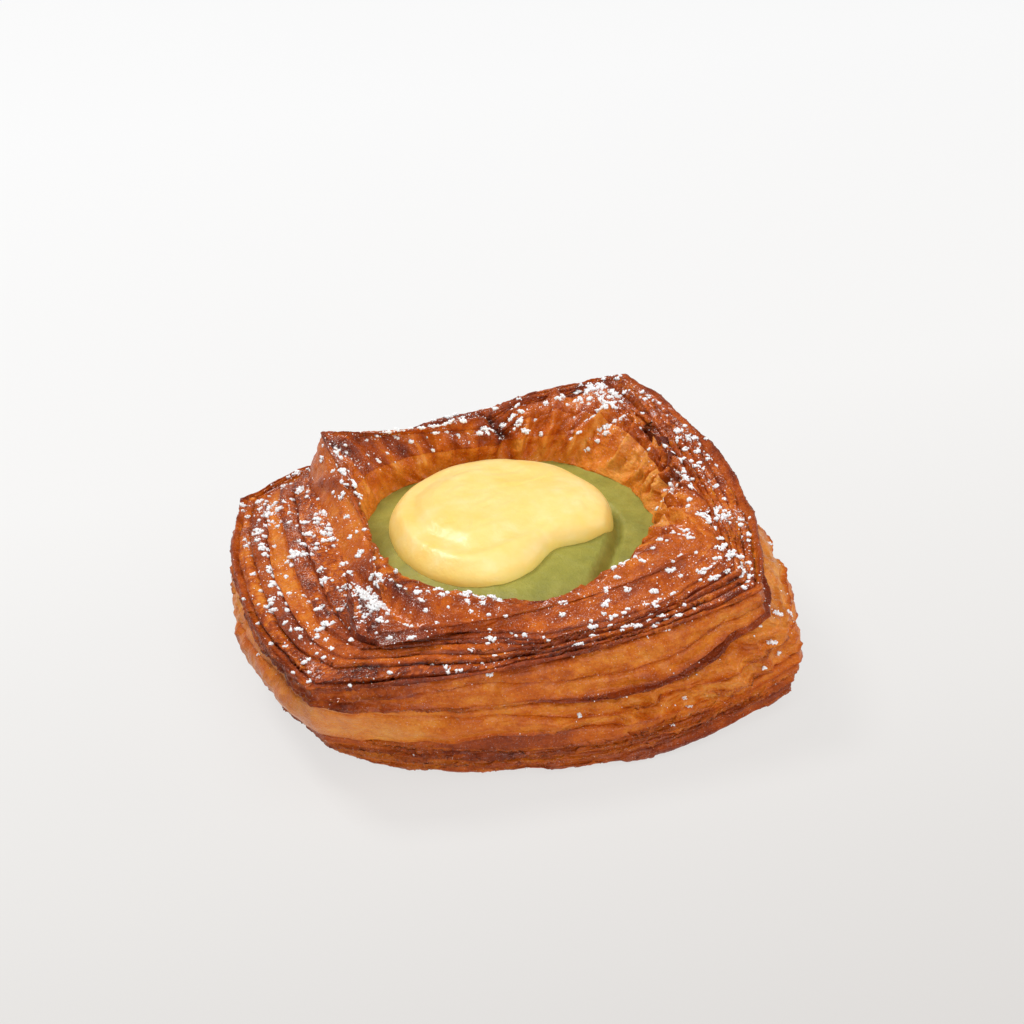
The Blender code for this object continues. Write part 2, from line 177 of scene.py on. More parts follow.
TOP_LAYERS = (
    Layer(4.93, -1.0, 0.4, 0.0, 0.0, 0.6),
    Layer(5.0, ((0, .8), (.3, .6), (1, .8), (2, .6), (3, .5), (3.8, .5)), 0.45, 0.2, 0.35,
          ((0, .68), (.3, .62), (.45, .5), (1, .45), (2, .48), (3, .4), (3.7, .46), (3.9, .62)),
          0.4, 0.0, 0.0, 1.0, 0.1),
    Layer(((0, 5.3), (.15, 5.28), (.3, 5.17), (.5, 5.15), (.7, 5.12), (.9, 5.15), (1, 5.25), (1.5, 5.3),
           (2, 5.3), (2.5, 5.25), (3, 5.2), (3.3, 5.15), (3.7, 5.18), (3.9, 5.28)), 0.4, 0.6,
          ((0, .5), (.5, .2), (1, .5), (2, .5), (3, .9), (3.7, 1.0)), 0.45,
          ((0, .6), (.25, .55), (.4, .52), (1, .48), (2, .48), (3, .38), (3.5, .36), (3.8, .5)),
          ((0, 1.0), (.5, .8), (1, .8), (2, .7), (3, .6), (3.6, .8)), 0.0, 0.0, 0.3,
          ((0, .7), (.2, .6), (.5, .4), (1, .6), (1.5, 1.4), (2, 1.1), (2.9, .9), (3.1, 1.1), (3.4, .3),
           (3.8, .25))),
    Layer(((0, 5.95), (.1, 5.85), (.2, 5.7), (.35, 5.45), (.5, 5.32), (.7, 5.3), (.85, 5.42), (1, 5.6),
           (2, 5.6), (2.5, 5.55), (3, 5.4), (3.3, 5.48), (3.85, 5.5), (3.95, 5.75)),
          ((0, .4), (.4, .3), (1, .4), (3, .4), (3.3, .5), (3.7, .5), (3.9, .3)), 0.55,
          ((0, .2), (.5, .1), (1, .5), (3, .7), (3.8, .9)), 0.4,
          ((0, .5), (.2, .42), (.6, .45), (.9, .4), (1, .45), (2, .48), (3, .5), (3.3, .55), (3.8, .56)),
          ((0, .3), (.5, .4), (1, .8), (2, .7), (3, .4), (3.3, .1), (3.8, .2)), 0.0, 0.0, 0.3,
          ((0, .25), (.5, .3), (1, .6), (1.5, 1.4), (2, 1.0), (3.1, 1.1), (3.3, .5), (3.6, .3), (3.8, .3))),
    Layer(((0, 6.3), (.1, 6.2), (.2, 6.1), (.35, 5.75), (.5, 5.55), (.7, 5.5), (.85, 5.65), (1, 5.9),
           (2, 5.9), (2.5, 5.85), (3, 5.8), (3.4, 5.86), (3.85, 5.9), (3.95, 6.1)),
          ((0, .2), (.5, .3), (1, .4), (3, .4), (3.4, .3), (3.8, .2)), 0.5,
          ((0, .1), (.5, .0), (1, .5), (3, .3), (3.3, -.5), (3.8, -.4)), 0.4,
          ((0, .5), (.2, .45), (.5, .5), (.9, .38), (1, .42), (2, .46), (3, .36), (3.2, .27), (3.7, .26),
           (3.9, .4)),
          ((0, .3), (1, .7), (3, .4), (3.4, .3), (3.8, .4)), 0.0, 0.0, 0.4,
          ((0, .2), (.5, .3), (1, .5), (1.5, 1.2), (2, .9), (3.1, .9), (3.4, .35), (3.6, .15), (3.8, .4))),
    Layer(((0, 6.7), (.1, 6.65), (.2, 6.55), (.3, 6.3), (.43, 5.9), (.5, 5.7), (.65, 5.6), (.85, 5.8),
           (1, 6.2), (2, 6.25), (2.5, 6.2), (3, 6.2), (3.4, 6.26), (3.8, 6.27), (3.95, 6.5)),
          ((0, .2), (.5, .1), (1, .4), (3, .5), (3.4, .7), (3.8, .4)), 0.7,
          ((0, .2), (.5, .1), (1, .4), (3, .8), (3.8, .7)), 0.45,
          ((0, .6), (.3, .58), (.6, .56), (1, .46), (2, .48), (3, .5), (3.8, .55)),
          ((0, .2), (1, .7), (3, .6), (3.8, .9)), 0.0, 0.0, 0.3,
          ((0, .2), (.5, .3), (1, .5), (1.5, .9), (3.1, .8), (3.4, .6), (3.8, .5))),
    Layer(((0, 7.0), (.1, 7.0), (.2, 6.9), (.3, 6.55), (.43, 6.05), (.5, 5.8), (.65, 5.7), (.85, 5.9),
           (1, 6.35), (1.15, 6.6), (2, 6.6), (3, 6.5), (3.4, 6.55), (3.8, 6.6), (3.95, 6.8)),
          ((0, .0), (.8, .0), (1.1, .4), (2.8, .4), (3.1, .3), (3.8, .2)), 0.6,
          ((0, .2), (.8, .2), (1.1, .4), (3, .8), (3.8, .6)), 0.6,
          ((0, .64), (.3, .62), (.6, .56), (1, .48), (2, .5), (3, .5), (3.8, .52)),
          ((0, .2), (1, .7), (3, .9), (3.8, .9)), 0.0, 0.0, 0.3,
          ((0, .2), (.5, .3), (1, .5), (1.5, .9), (3.1, .9), (3.4, 1.0), (3.7, .5))),
    Layer(((0, 7.6), (.06, 7.65), (.14, 7.7), (.2, 7.4), (.3, 7.0), (.43, 6.45), (.5, 6.2), (.65, 6.05),
           (.8, 6.2), (.9, 6.6), (1, 7.1), (1.07, 7.2), (1.14, 9.1), (1.21, 7.2), (1.31, 9.6), (1.43, 7.7),
           (1.55, 9.6), (1.7, 8.1), (1.85, 8.8), (2, 7.7), (2.3, 7.2), (3, 7.15),
           (3.5, 7.17), (3.67, 7.2), (3.84, 7.3)),
          -0.5, 0.5, 0.0, 0.0, 0.8),
)
INNER_LAYERS = (
    Layer(((0, 6.85), (.05, 7.15), (.14, 7.5), (.2, 7.2), (.3, 6.75), (.43, 6.15), (.5, 5.9), (.65, 5.75),
           (.8, 5.9), (.9, 6.2), (1, 6.7), (1.07, 6.8), (1.14, 8.6), (1.21, 6.8), (1.31, 9.2), (1.43, 7.3),
           (1.55, 9.2), (1.7, 7.7), (1.85, 8.3), (2, 7.3), (2.3, 6.85), (3, 6.87),
           (3.5, 6.87), (3.66, 6.9), (3.84, 6.7), (3.94, 6.52)),
          -0.8, 0.4, 0.0, 0.0, 0.8),
    Layer(((0, 6.95), (.05, 7.25), (.14, 7.55), (.2, 7.25), (.3, 6.8), (.43, 6.2), (.5, 5.95), (.65, 5.8),
           (.8, 5.95), (.9, 6.3), (1, 6.8), (1.07, 6.9), (1.14, 8.7), (1.21, 6.9), (1.31, 9.3), (1.43, 7.4),
           (1.55, 9.3), (1.7, 7.8), (1.85, 8.4), (2, 7.4), (2.3, 6.95), (3, 6.97),
           (3.5, 6.97), (3.66, 7.0), (3.84, 6.8), (3.94, 6.62)),
          ((0, 2.0), (.1, 1.7), (.2, .5), (.3, .4), (.8, .4), (1, .7), (1.07, 1.0), (1.14, .3), (1.21, 1.1),
           (1.31, .3), (1.43, 1.1), (1.55, .3), (1.7, 1.0), (1.85, .4), (2, .5), (3, .2), (3.6, .2), (3.68, 1.2),
           (3.8, 1.9)), 0.7,
          ((0, .2), (.2, .3), (.6, .5), (1, .3), (2, .2), (3, .3), (3.5, .4)), 0.0,
          ((0, .72), (.15, .66), (.3, .55), (.5, .52), (.8, .52), (1, .42), (1.2, .38), (2, .42), (3, .4),
           (3.2, .36), (3.55, .36), (3.68, .7), (3.85, .76)),
          ((0, .6), (.2, .4), (1, .5), (2, .5), (3, .3), (3.6, .2), (3.7, .6)), 0.1, 0.1, 0.4,
          ((0, 1.5), (.12, 1.1), (.2, .5), (.5, .4), (.8, .4), (1, .4), (1.5, .8), (2, 1.2), (2.9, .8),
           (3.2, .6), (3.5, .3), (3.66, .4), (3.72, 1.5), (3.9, 1.7))),
    Layer(((0, 8.0), (.2, 8.0), (.35, 7.9), (.5, 7.8), (.65, 7.8), (.85, 7.9), (1, 8.2), (1.14, 9.0), (1.31, 9.5),
           (1.55, 9.5), (1.85, 8.9), (2, 8.3), (2.3, 8.0), (3, 8.0)),
          ((0, .3), (.2, .3), (.8, .3), (1, .2), (2, .3), (3, .5), (3.6, .3)), 0.5,
          ((0, .3), (.2, .2), (1, .3), (3, .3)), 0.2,
          ((0, .58), (.15, .5), (.4, .5), (.8, .42), (1, .4), (1.5, .5), (2, .4), (2.5, .5), (3, .5),
           (3.4, .35), (3.8, .5)),
          0.3, 0.1, ((0, .2), (1, .6), (1.9, .6), (2.3, .4), (3, .2)), 0.1,
          ((0, 1.5), (.12, 1.1), (.2, .6), (.5, .8), (.8, .6), (1, .5), (1.5, .5), (2, 2.0), (2.9, 2.0),
           (3.1, 1.2), (3.4, .5), (3.66, .3), (3.75, 1.2), (3.9, 1.6))),
    Layer(((0, 9.0), (1, 9.2), (1.14, 9.5), (1.31, 9.8), (1.55, 9.8), (1.85, 9.4), (2.1, 9.0), (3, 9.0)),
          0.0, 0.6, 0.0, 0.0, ((0, .5), (.5, .5), (1, .26), (1.5, .14), (2, .3), (2.5, .55), (3, .5),
                                    (3.5, .36)), 0.1, 0.0, 0.5, 0.0,
          ((0, .6), (.5, .4), (1, .3), (1.4, .5), (1.7, .5), (2, .9), (2.5, 1.2), (3, .9), (3.3, .15),
           (3.8, .3))),
    Layer(((0, 10.0), (1, 10.0), (1.31, 10.3), (1.55, 10.3), (2, 10.0), (3, 10.0)),
          0.0, 0.5, 0.0, 0.0, ((0, .34), (1, .18), (2, .20), (2.5, .34), (3, .28)), 0.0, 0.0, 0.3,
          0.0, ((0, .0), (2, .2), (2.5, .4), (3, .1))),
    Layer(11.0, 0.0, 0.5, 0.0, 0.0, 0.3, 0.0, 0.0, 0.0, 0.0, 0.0),
    Layer(12.0, 0.0, 0.5, 0.0, 0.0, 0.3, 0.0, 0.0, 0.0, 0.0, 0.0),
)


# ----------------------------------------------------------------------------------------------
# Small helpers
# ----------------------------------------------------------------------------------------------
def linear(hex_colour):
    """An sRGB hex colour as linear RGBA."""
    parts = [int(hex_colour[i:i + 2], 16) / 255 for i in (1, 3, 5)]
    return tuple(p / 12.92 if p <= 0.04045 else ((p + 0.055) / 1.055) ** 2.4 for p in parts) + (1.0,)


def smoothstep(low, high, value):
    share = np.clip((value - low) / (high - low), 0, 1)
    return share * share * (3 - 2 * share)


def lattice_noise(across, along, seed, period=None):
    """Smooth noise from -1 to 1 over two arrays in cells; along repeats after period cells."""
    table = np.random.default_rng(seed).uniform(-1, 1, (256, 256))
    a, b = np.floor(across).astype(int), np.floor(along).astype(int)
    fa, fb = across - a, along - b
    fa, fb = fa * fa * (3 - 2 * fa), fb * fb * (3 - 2 * fb)
    wrap = period or 256
    low, high = np.mod(b, wrap) % 256, np.mod(b + 1, wrap) % 256
    a0, a1 = a % 256, (a + 1) % 256
    return ((table[a0, low] * (1 - fa) + table[a1, low] * fa) * (1 - fb)
            + (table[a0, high] * (1 - fa) + table[a1, high] * fa) * fb)


def dough_noise(around, across, length, width, seed, octaves=1):
    """Noise on the case's skin: around in sides, across in metres, with grains of length x width."""
    total, weight = 0.0, 1.0
    for octave in range(octaves):
        cells = max(4, int(round(PERIMETER / length * 2 ** octave)))
        total = total + weight * lattice_noise(across / width * 2 ** octave,
                                               around / SIDES * cells, seed + octave, cells)
        weight *= 0.5
    return total


def deselect_all():
    for piece in bpy.context.selected_objects:
        piece.select_set(False)


def make_active(piece):
    deselect_all()
    piece.select_set(True)
    bpy.context.view_layer.objects.active = piece


# ----------------------------------------------------------------------------------------------
# The shape of the dough case
# ----------------------------------------------------------------------------------------------
def smooth_loop(points, around):
    """Positions on a smooth closed curve through the points, for a parameter from 0 to SIDES."""
    steps = np.mod(around, SIDES) * len(points) / SIDES
    index = np.floor(steps).astype(int)
    part = (steps - index)[:, None]
    before, start, end, after = (points[(index + shift) % len(points)] for shift in (-1, 0, 1, 2))
    return 0.5 * (2 * start + (end - before) * part
                  + (2 * before - 5 * start + 4 * end - after) * part ** 2
                  + (3 * start - before - 3 * end + after) * part ** 3)


def cornered_loop(points, around):
    """The same through corners and middles in turn, each side one arch from corner to corner."""
    side = np.floor(np.mod(around, SIDES)).astype(int)
    part = (np.mod(around, SIDES) - side)[:, None]
    start, middle, end = (points[(2 * side + shift) % len(points)] for shift in (0, 1, 2))
    return (start * (1 - part) * (1 - 2 * part) + middle * 4 * part * (1 - part)
            + end * part * (2 * part - 1))


def section_ring(section, around):
    """The ring of a section in metres, one row of x, y, z for each value of around."""
    scale = np.array((HALF_WIDTH, HALF_DEPTH, HEIGHT))
    corners = np.array(section.corners) * scale
    following = np.roll(corners, -1, axis=0)
    run = following - corners
    outward = np.column_stack((run[:, 1], -run[:, 0])) / np.hypot(run[:, 0], run[:, 1])[:, None]
    bulge, height = np.array(section.middles).T
    middles = np.column_stack(((corners + following)[:, :2] / 2 + outward * bulge[:, None] * HALF_WIDTH,
                               height * HEIGHT))
    points = np.empty((2 * SIDES, 3))
    points[0::2] = corners
    points[1::2] = middles
    points[:, :2] += (CASE_MIDDLE.x, CASE_MIDDLE.y)
    return (cornered_loop(points, around) * section.sharp
            + smooth_loop(points, around) * (1 - section.sharp))


def skin(around, place):
    """Points of the case without its layers: around is one row of columns, place is rows x columns."""
    rings = np.array([section_ring(section, around) for section in SECTIONS])
    last = len(SECTIONS) - 1
    rise = np.diff(rings, axis=0)
    arriving = np.concatenate((rise[:1], rise))
    leaving = np.concatenate((rise, rise[-1:]))
    for index, section in enumerate(SECTIONS):
        if not section.creased:
            both = (arriving[index] + leaving[index]) / 2
            arriving[index] = leaving[index] = both
    low = np.clip(np.floor(place).astype(int), 0, last - 1)
    part = (place - low)[:, :, None]
    column = np.arange(len(around))[None, :]
    start, end = rings[low, column], rings[low + 1, column]
    out, back = leaving[low, column], arriving[low + 1, column]
    square, cube = part ** 2, part ** 3
    return (start * (2 * cube - 3 * square + 1) + out * (cube - 2 * square + part)
            + end * (3 * square - 2 * cube) + back * (cube - square))


def along(knots, around):
    """Values round the case: one number, or (around, value) knots joined by a smooth line."""
    if isinstance(knots, (int, float)):
        return np.full(len(around), float(knots))
    places, values = np.array(knots, float).T
    line = np.interp(around, places, values, period=SIDES)
    width = len(around) // 50
    kernel = np.hanning(width + 2)
    padded = np.concatenate((line[-width:], line, line[:width]))
    return np.convolve(padded, kernel / kernel.sum(), "same")[width:-width]


def grid_normals(grid):
    side = np.roll(grid, -1, axis=1) - np.roll(grid, 1, axis=1)
    up = np.gradient(grid, axis=0)
    normals = np.cross(side, up)
    return normals / np.maximum(np.linalg.norm(normals, axis=2), 1e-9)[:, :, None]


def lay_rows(layers, around, seed, spacing, row_steps):
    """The rows of a run of layers: place (rows x columns), layer number and share of the band."""
    still = np.zeros(len(around))
    edges = []
    for number, layer in enumerate(layers):
        edge = along(layer.at, around)
        if not isinstance(layer.at, (int, float)):
            edge += (0.035 * dough_noise(around, still, 14 * MM, MM, seed + number)
                     + 0.020 * dough_noise(around, still, 4 * MM, MM, seed + 40 + number, 2))
        edges.append(edge)
    place, numbers, shares = [], [], []
    for number in range(len(layers) - 1):
        low, high = (skin(around[::8], edges[number + step][None, ::8])[0] for step in (0, 1))
        width = np.percentile(np.linalg.norm(high - low, axis=1), 70)
        steps = max(1, int(round(width / spacing / row_steps))) * row_steps
        for step in range(steps):
            share = step / steps
            share -= 0.11 * sin(tau * share)
            place.append(edges[number] + (edges[number + 1] - edges[number]) * share)
            numbers.append(number)
            shares.append(share)
    place.append(edges[-1])
    numbers.append(len(layers) - 1)
    shares.append(0.0)
    return np.array(place), np.array(numbers), np.array(shares)


def layered_skin(layers, around, seed, spacing, row_steps):
    """The layered surface of a run of layers: its grid of points and its finish, rows x columns."""
    still = np.zeros(len(around))
    place, numbers, shares = lay_rows(layers, around, seed, spacing, row_steps)
    base = skin(around, place)
    normals = grid_normals(base)
    gap = np.linalg.norm(np.diff(base, axis=0), axis=2)
    climbed = np.concatenate((np.zeros((1, len(around))), np.cumsum(gap, axis=0)))
    first = [int(np.argmax(numbers == number)) for number in range(len(layers))]
    corner = np.abs(np.mod(around + 0.5, 1.0) - 0.5)
    pinch = 0.5 + 0.5 * smoothstep(0.0, 0.12, corner)

    finish = {name: np.zeros_like(place) for name in ("tone", "lip", "porous", "sugar", "height")}
    lift = np.zeros_like(place)
    soft = {name: np.zeros_like(place) for name in ("crease", "crumple", "stripes")}
    for number, layer in enumerate(layers):
        rows = np.flatnonzero(numbers == number)
        above = climbed[rows] - climbed[first[number]]
        band = {name: along(getattr(layer, name), around)[None, :] for name in layer._fields}
        ragged = 1.0
        if not isinstance(layer.reach, float) or layer.reach > 0:
            ragged = (0.9 + 0.40 * dough_noise(around, still, 8 * MM, MM, seed + 100 + number)
                      + 0.10 * dough_noise(around, still, 2.5 * MM, MM, seed + 150 + number, 2))[None, :]
        near = np.exp(-(above / (layer.lip * MM)) ** 2)
        lift[rows] = LIP_GAIN * band["reach"] * MM * ragged * near * np.where(band["reach"] > 0, pinch, 1)
        finish["lip"][rows] = near * np.clip(band["reach"] / 0.5, 0, 1)
        finish["tone"][rows] = band["tone"]
        if number < len(layers) - 1:
            below = climbed[first[number + 1]] - climbed[rows]
            puff = 1 + 0.6 * dough_noise(around, climbed[rows], 10 * MM, 6 * MM, seed + 200 + number)
            arch = np.sin(pi * shares[rows]) ** 0.8
            lift[rows] += band["swell"] * MM * arch[:, None] * puff * pinch
            shade = np.exp(-(below / (0.6 * MM)) ** 2) * (band["undercut"] > 0)
            lift[rows] -= LIP_GAIN * band["undercut"] * MM * shade * pinch
            # painted shade, partly real browning: the band is darker where it draws in under the next edge
            finish["tone"][rows] += 0.14 * shade * np.clip(band["undercut"] / 0.4, 0, 1)
        finish["tone"][rows] += 0.36 * finish["lip"][rows] * (0.85 - band["tone"])
        for name in ("porous", "sugar"):
            finish[name][rows] = band[name]
        for name in soft:
            soft[name][rows] = band[name]

    crumb = crumb_walls(around, climbed, 1.5 * MM, seed + 301) - 0.45
    stripes = dough_noise(around, climbed, 16 * MM, 0.75 * MM, seed + 311, 2)
    crease = dough_noise(around, climbed, 4.5 * MM, 16 * MM, seed + 321, 2)
    folded = climbed + 1.2 * MM * dough_noise(around, climbed, 9 * MM, 6 * MM, seed + 329)
    wrinkle = 1 - 2 * np.abs(dough_noise(around, folded, 5.5 * MM, 3.2 * MM, seed + 331, 2))
    grain = dough_noise(around, climbed, 2.2 * MM, 1.4 * MM, seed + 341, 2)
    fine = (0.30 * finish["porous"] * crumb + 0.20 * soft["stripes"] * stripes
            + 0.14 * (0.4 + finish["porous"]) * grain)
    broad = (0.55 * soft["crease"] * crease + 0.95 * soft["crumple"] * wrinkle
             + 0.30 * soft["crumple"] * (1 - 2 * np.abs(grain))
             + 0.45 * dough_noise(around, place * 5 * MM, 11 * MM, 5 * MM, 351, 3))
    single_lift, rise, single_tone = relief(around, place, base[:, :, :2], seed)
    lift += (fine + broad) * MM + single_lift
    finish["tone"] += (single_tone + 0.16 * fine / 0.15 * (0.3 + 0.7 * finish["porous"]) + 0.05 * broad
                       + 0.07 * dough_noise(around, climbed, 14 * MM, 8 * MM, seed + 361, 2))
    lift[place < 0.5] = 0
    points = base + normals * lift[:, :, None]
    points[:, :, 2] = np.maximum(points[:, :, 2] + rise, CASE_LOW.z)
    finish["place"] = place
    edges = [place[row] for row in first]
    return points, climbed, finish, edges


def crumb_walls(around, across, size, seed):
    """Open crumb: 0 in the pores and 1 on the walls between them."""
    cells = int(round(PERIMETER / size))
    jitter = np.random.default_rng(seed).uniform(0, 1, (256, 256, 2))
    a, b = across / size, np.broadcast_to(around / SIDES * cells, across.shape)
    first, second = np.full(across.shape, 9.0), np.full(across.shape, 9.0)
    for step_a in (-1, 0, 1):
        for step_b in (-1, 0, 1):
            cell_a, cell_b = np.floor(a) + step_a, np.floor(b) + step_b
            shift = jitter[np.mod(cell_a, 256).astype(int), np.mod(np.mod(cell_b, cells), 256).astype(int)]
            away = np.hypot(cell_a + shift[:, :, 0] - a, cell_b + shift[:, :, 1] - b)
            second = np.minimum(second, np.maximum(first, away))
            first = np.minimum(first, away)
    return 1 - smoothstep(0.0, 0.5, second - first)


# single bumps, in mm: lift is along the surface's normal and rise is straight up
Bump = namedtuple("Bump", "around place spread_around spread_place lift rise tone")
BUMPS = (
    # painted shade: the notch in the back rim is darker
    Bump(2.38, 8.2, 0.040, 1.6, -1.0, -2.4, 0.20),   # notch in the back rim
    Bump(2.17, 8.0, 0.022, 0.8, 0.0, 2.6, 0.10),     # the peak beside it
    Bump(0.45, 9.0, 0.140, 1.6, -1.5, 0.0, 0.10),    # dip in the front rim
    # painted shade: the hollow under the back-left tip is darker
    Bump(3.06, 8.5, 0.050, 0.5, -0.8, 0.0, 0.40),    # dark hollow under the back-left tip
    Bump(3.00, 5.3, 0.070, 1.1, 0.0, -1.8, 0.0),     # the back-left corner is rounded off
    Bump(1.25, 2.0, 0.150, 1.0, 0.5, 0.0, 0.05),     # puffed lobe, lower right
    Bump(1.05, 3.2, 0.060, 0.7, 0.3, 0.0, 0.10),     # blister above it
    Bump(1.08, 4.0, 0.120, 1.0, -0.9, 0.0, 0.0),     # the stack leans in at the right-hand corner
    # painted shade and light: the hollows between the blisters are darker, and the raised blisters after them lighter
    Bump(0.90, 3.2, 0.035, 0.5, -1.2, 0.0, 0.15),    # hollows between the blisters
    Bump(0.98, 2.4, 0.030, 0.4, -1.0, 0.0, 0.15),
    Bump(0.84, 2.6, 0.040, 0.4, 0.9, 0.0, -0.10),
    Bump(1.04, 1.7, 0.035, 0.4, 0.8, 0.0, -0.10),
)
# creases and ridges in plan, in mm: the points they run through, their height and half width
Crease = namedtuple("Crease", "path height width tone")
CREASES = (
    Crease(((-36.0, -7.0), (-34.0, -13.0), (-33.0, -19.0), (-31.5, -25.0), (-28.5, -30.5)), -2.6, 1.5, -0.25),
    Crease(((-31.0, -13.0), (-30.0, -18.0), (-28.5, -23.0), (-25.5, -28.5)), 1.3, 1.2, 0.25),
    # painted shade: the groove of this crease at the back is darker
    Crease(((8.0, 42.0), (11.0, 37.0), (13.0, 34.0), (15.0, 31.0)), -1.6, 0.9, 0.30),
    Crease(((-33.0, 31.0), (-30.0, 24.0), (-28.0, 14.0), (-28.5, 4.0)), 0.9, 1.0, 0.15),
)


def relief(around, place, plan, seed):
    """The single bumps, the creases and the folds down the wall: lift and rise in metres, and tone."""
    lift, rise, tone = np.zeros_like(place), np.zeros_like(place), np.zeros_like(place)
    for bump in BUMPS:
        away = np.mod(around - bump.around + SIDES / 2, SIDES) - SIDES / 2
        near = np.exp(-(away / bump.spread_around) ** 2 - ((place - bump.place) / bump.spread_place) ** 2)
        lift += bump.lift * MM * near
        rise += bump.rise * MM * near
        tone += bump.tone * near
    for crease in CREASES:
        path = np.array(crease.path) * MM
        reach = 3 * crease.width * MM
        close = ((plan > path.min(axis=0) - reach) & (plan < path.max(axis=0) + reach)).all(axis=2) & (place > 6)
        side, share = beside_path(plan[close], crease.path)
        near = np.exp(-(side / (crease.width * MM)) ** 2) * np.sin(pi * np.clip(share, 0.0, 1.0)) ** 0.5
        lift[close] += crease.height * MM * near
        tone[close] += crease.tone * near
    inside = smoothstep(8.3, 9.2, place) * (1 - smoothstep(10.3, 11.0, place))
    right = smoothstep(0.75, 1.1, around) * (1 - smoothstep(2.2, 2.6, around))
    bend = dough_noise(around, place * 3 * MM, 16 * MM, 6 * MM, seed + 7)
    pleats = 1 - 2 * np.abs(np.sin(pi * (around * 7.0 + bend * 0.6)))
    pleats += 0.5 * np.cos(tau * (around * 15 + bend * 1.3))
    fold = inside * (0.25 + 0.75 * right) * pleats
    streaks = dough_noise(around, place * 2 * MM, 2.6 * MM, 9 * MM, seed + 9, 3)
    # painted light and shade: the crests of the pleats are lighter and their folds darker; the streaks are real
    # browning
    return lift + 1.0 * MM * fold, rise, tone + inside * (0.16 * streaks - 0.05 * pleats)


def tube(name, columns, rings):
    """A tube of the pastry's width, extruded ring by ring: one ring for each step of the dough."""
    step = HEIGHT / rings
    deselect_all()
    bpy.ops.mesh.primitive_circle_add(vertices=columns, radius=HALF_WIDTH, fill_type="NOTHING")
    piece = bpy.context.object
    piece.name = piece.data.name = name
    bpy.ops.object.mode_set(mode="EDIT")
    bpy.ops.mesh.select_all(action="SELECT")
    for _ in range(rings):
        bpy.ops.mesh.extrude_region_move(TRANSFORM_OT_translate={"value": (0, 0, step)})
    bpy.ops.object.mode_set(mode="OBJECT")
    return piece


def subdivide_simply(piece, levels):
    make_active(piece)
    finer = piece.modifiers.new("finer", "SUBSURF")
    finer.subdivision_type = "SIMPLE"
    finer.levels = finer.render_levels = levels
    bpy.ops.object.modifier_apply(modifier=finer.name)


def cap_ends(piece):
    """Closes both open ends of a tube with one flat face each."""
    make_active(piece)
    bpy.ops.object.mode_set(mode="EDIT")
    bpy.ops.mesh.select_mode(type="EDGE")
    bpy.ops.mesh.select_all(action="DESELECT")
    bpy.ops.mesh.select_non_manifold(extend=False, use_wire=False, use_boundary=True,
                                     use_multi_face=False, use_non_contiguous=False, use_verts=False)
    bpy.ops.mesh.edge_face_add()
    bpy.ops.mesh.select_all(action="SELECT")
    bpy.ops.mesh.normals_make_consistent(inside=False)
    bpy.ops.object.mode_set(mode="OBJECT")
    bpy.ops.object.shade_smooth()


def hidden_ring(around, share, height):
    """A ring inside the case, below the floor of the well, where no one sees it."""
    ring = section_ring(SECTIONS[0], around)
    centre = np.array((CASE_MIDDLE.x, CASE_MIDDLE.y, 0))
    ring = centre + (ring - centre) * share
    ring[:, 2] = height
    return ring


def with_hidden_end(points, finish, climbed, ring, at_start, steps):
    """Adds the rows from one end of a piece to its hidden ring."""
    edge = points[0] if at_start else points[-1]
    shares = np.arange(1, steps + 1) / steps
    rows = edge + (ring - edge) * shares[:, None, None]
    if at_start:
        rows = rows[::-1]
    pick = 0 if at_start else -1

    def extend(values, extra):
        return np.concatenate((extra, values) if at_start else (values, extra))
    finish = {name: extend(values, np.repeat(values[pick][None], steps, axis=0))
              for name, values in finish.items()}
    reach = climbed[pick] + (-1 if at_start else 1) * shares[:, None] * 10 * MM
    return extend(points, rows), finish, extend(climbed, reach[::-1] if at_start else reach)


def pressed_tube(name, points, finish, levels):
    """A tube pressed to a grid of points (rows x columns), its finish kept as attributes."""
    rows, columns = points.shape[:2]
    steps = 2 ** levels
    rings = (rows - 1) // steps
    piece = tube(name, columns // steps, rings)
    subdivide_simply(piece, levels)
    mesh = piece.data
    where = np.empty(len(mesh.vertices) * 3)
    mesh.vertices.foreach_get("co", where)
    where = where.reshape(-1, 3)
    turn = np.round(np.arctan2(where[:, 0], where[:, 1]) / tau * columns).astype(int)
    column = np.mod(-turn, columns)
    row = np.round(where[:, 2] / HEIGHT * rings * steps).astype(int)
    mesh.vertices.foreach_set("co", points[row, column].ravel())
    for label, values in finish.items():
        attribute = mesh.attributes.new(label, "FLOAT", "POINT")
        attribute.data.foreach_set("value", values[row, column].astype(np.float32))
    return piece, row, column


def case_piece(name, layers, seed, spacing, hidden_start, hidden_end):
    """One part of the case: its layered skin, carried on to hidden rings where it is tucked in."""
    steps = 2 ** CASE_LEVELS
    around = np.arange(CASE_COLUMNS) * SIDES / CASE_COLUMNS
    points, climbed, finish, edges = layered_skin(layers, around, seed, spacing, steps)
    up = np.clip(grid_normals(points)[:, :, 2], 0, 1)
    drift = dough_noise(around, climbed, 7 * MM, 5 * MM, seed + 71, 2)
    # sugar dust on the faces that look up; the same pale mix also paints the sheen of the glaze there
    finish["dust_and_sheen"] = np.minimum(finish["sugar"], 0.8) * up ** 2 * np.clip(0.6 + 0.6 * drift, 0, 1.3)
    shown = (points, finish)
    for spot, at_start in ((hidden_start, True), (hidden_end, False)):
        if spot:
            ring = hidden_ring(around, *spot)
            points, finish, climbed = with_hidden_end(points, finish, climbed, ring, at_start, steps)
    piece, row, column = pressed_tube(name, points, finish, CASE_LEVELS)
    write_skin_uv(piece.data, row, column, CASE_COLUMNS, climbed)
    cap_ends(piece)
    return piece, shown, edges


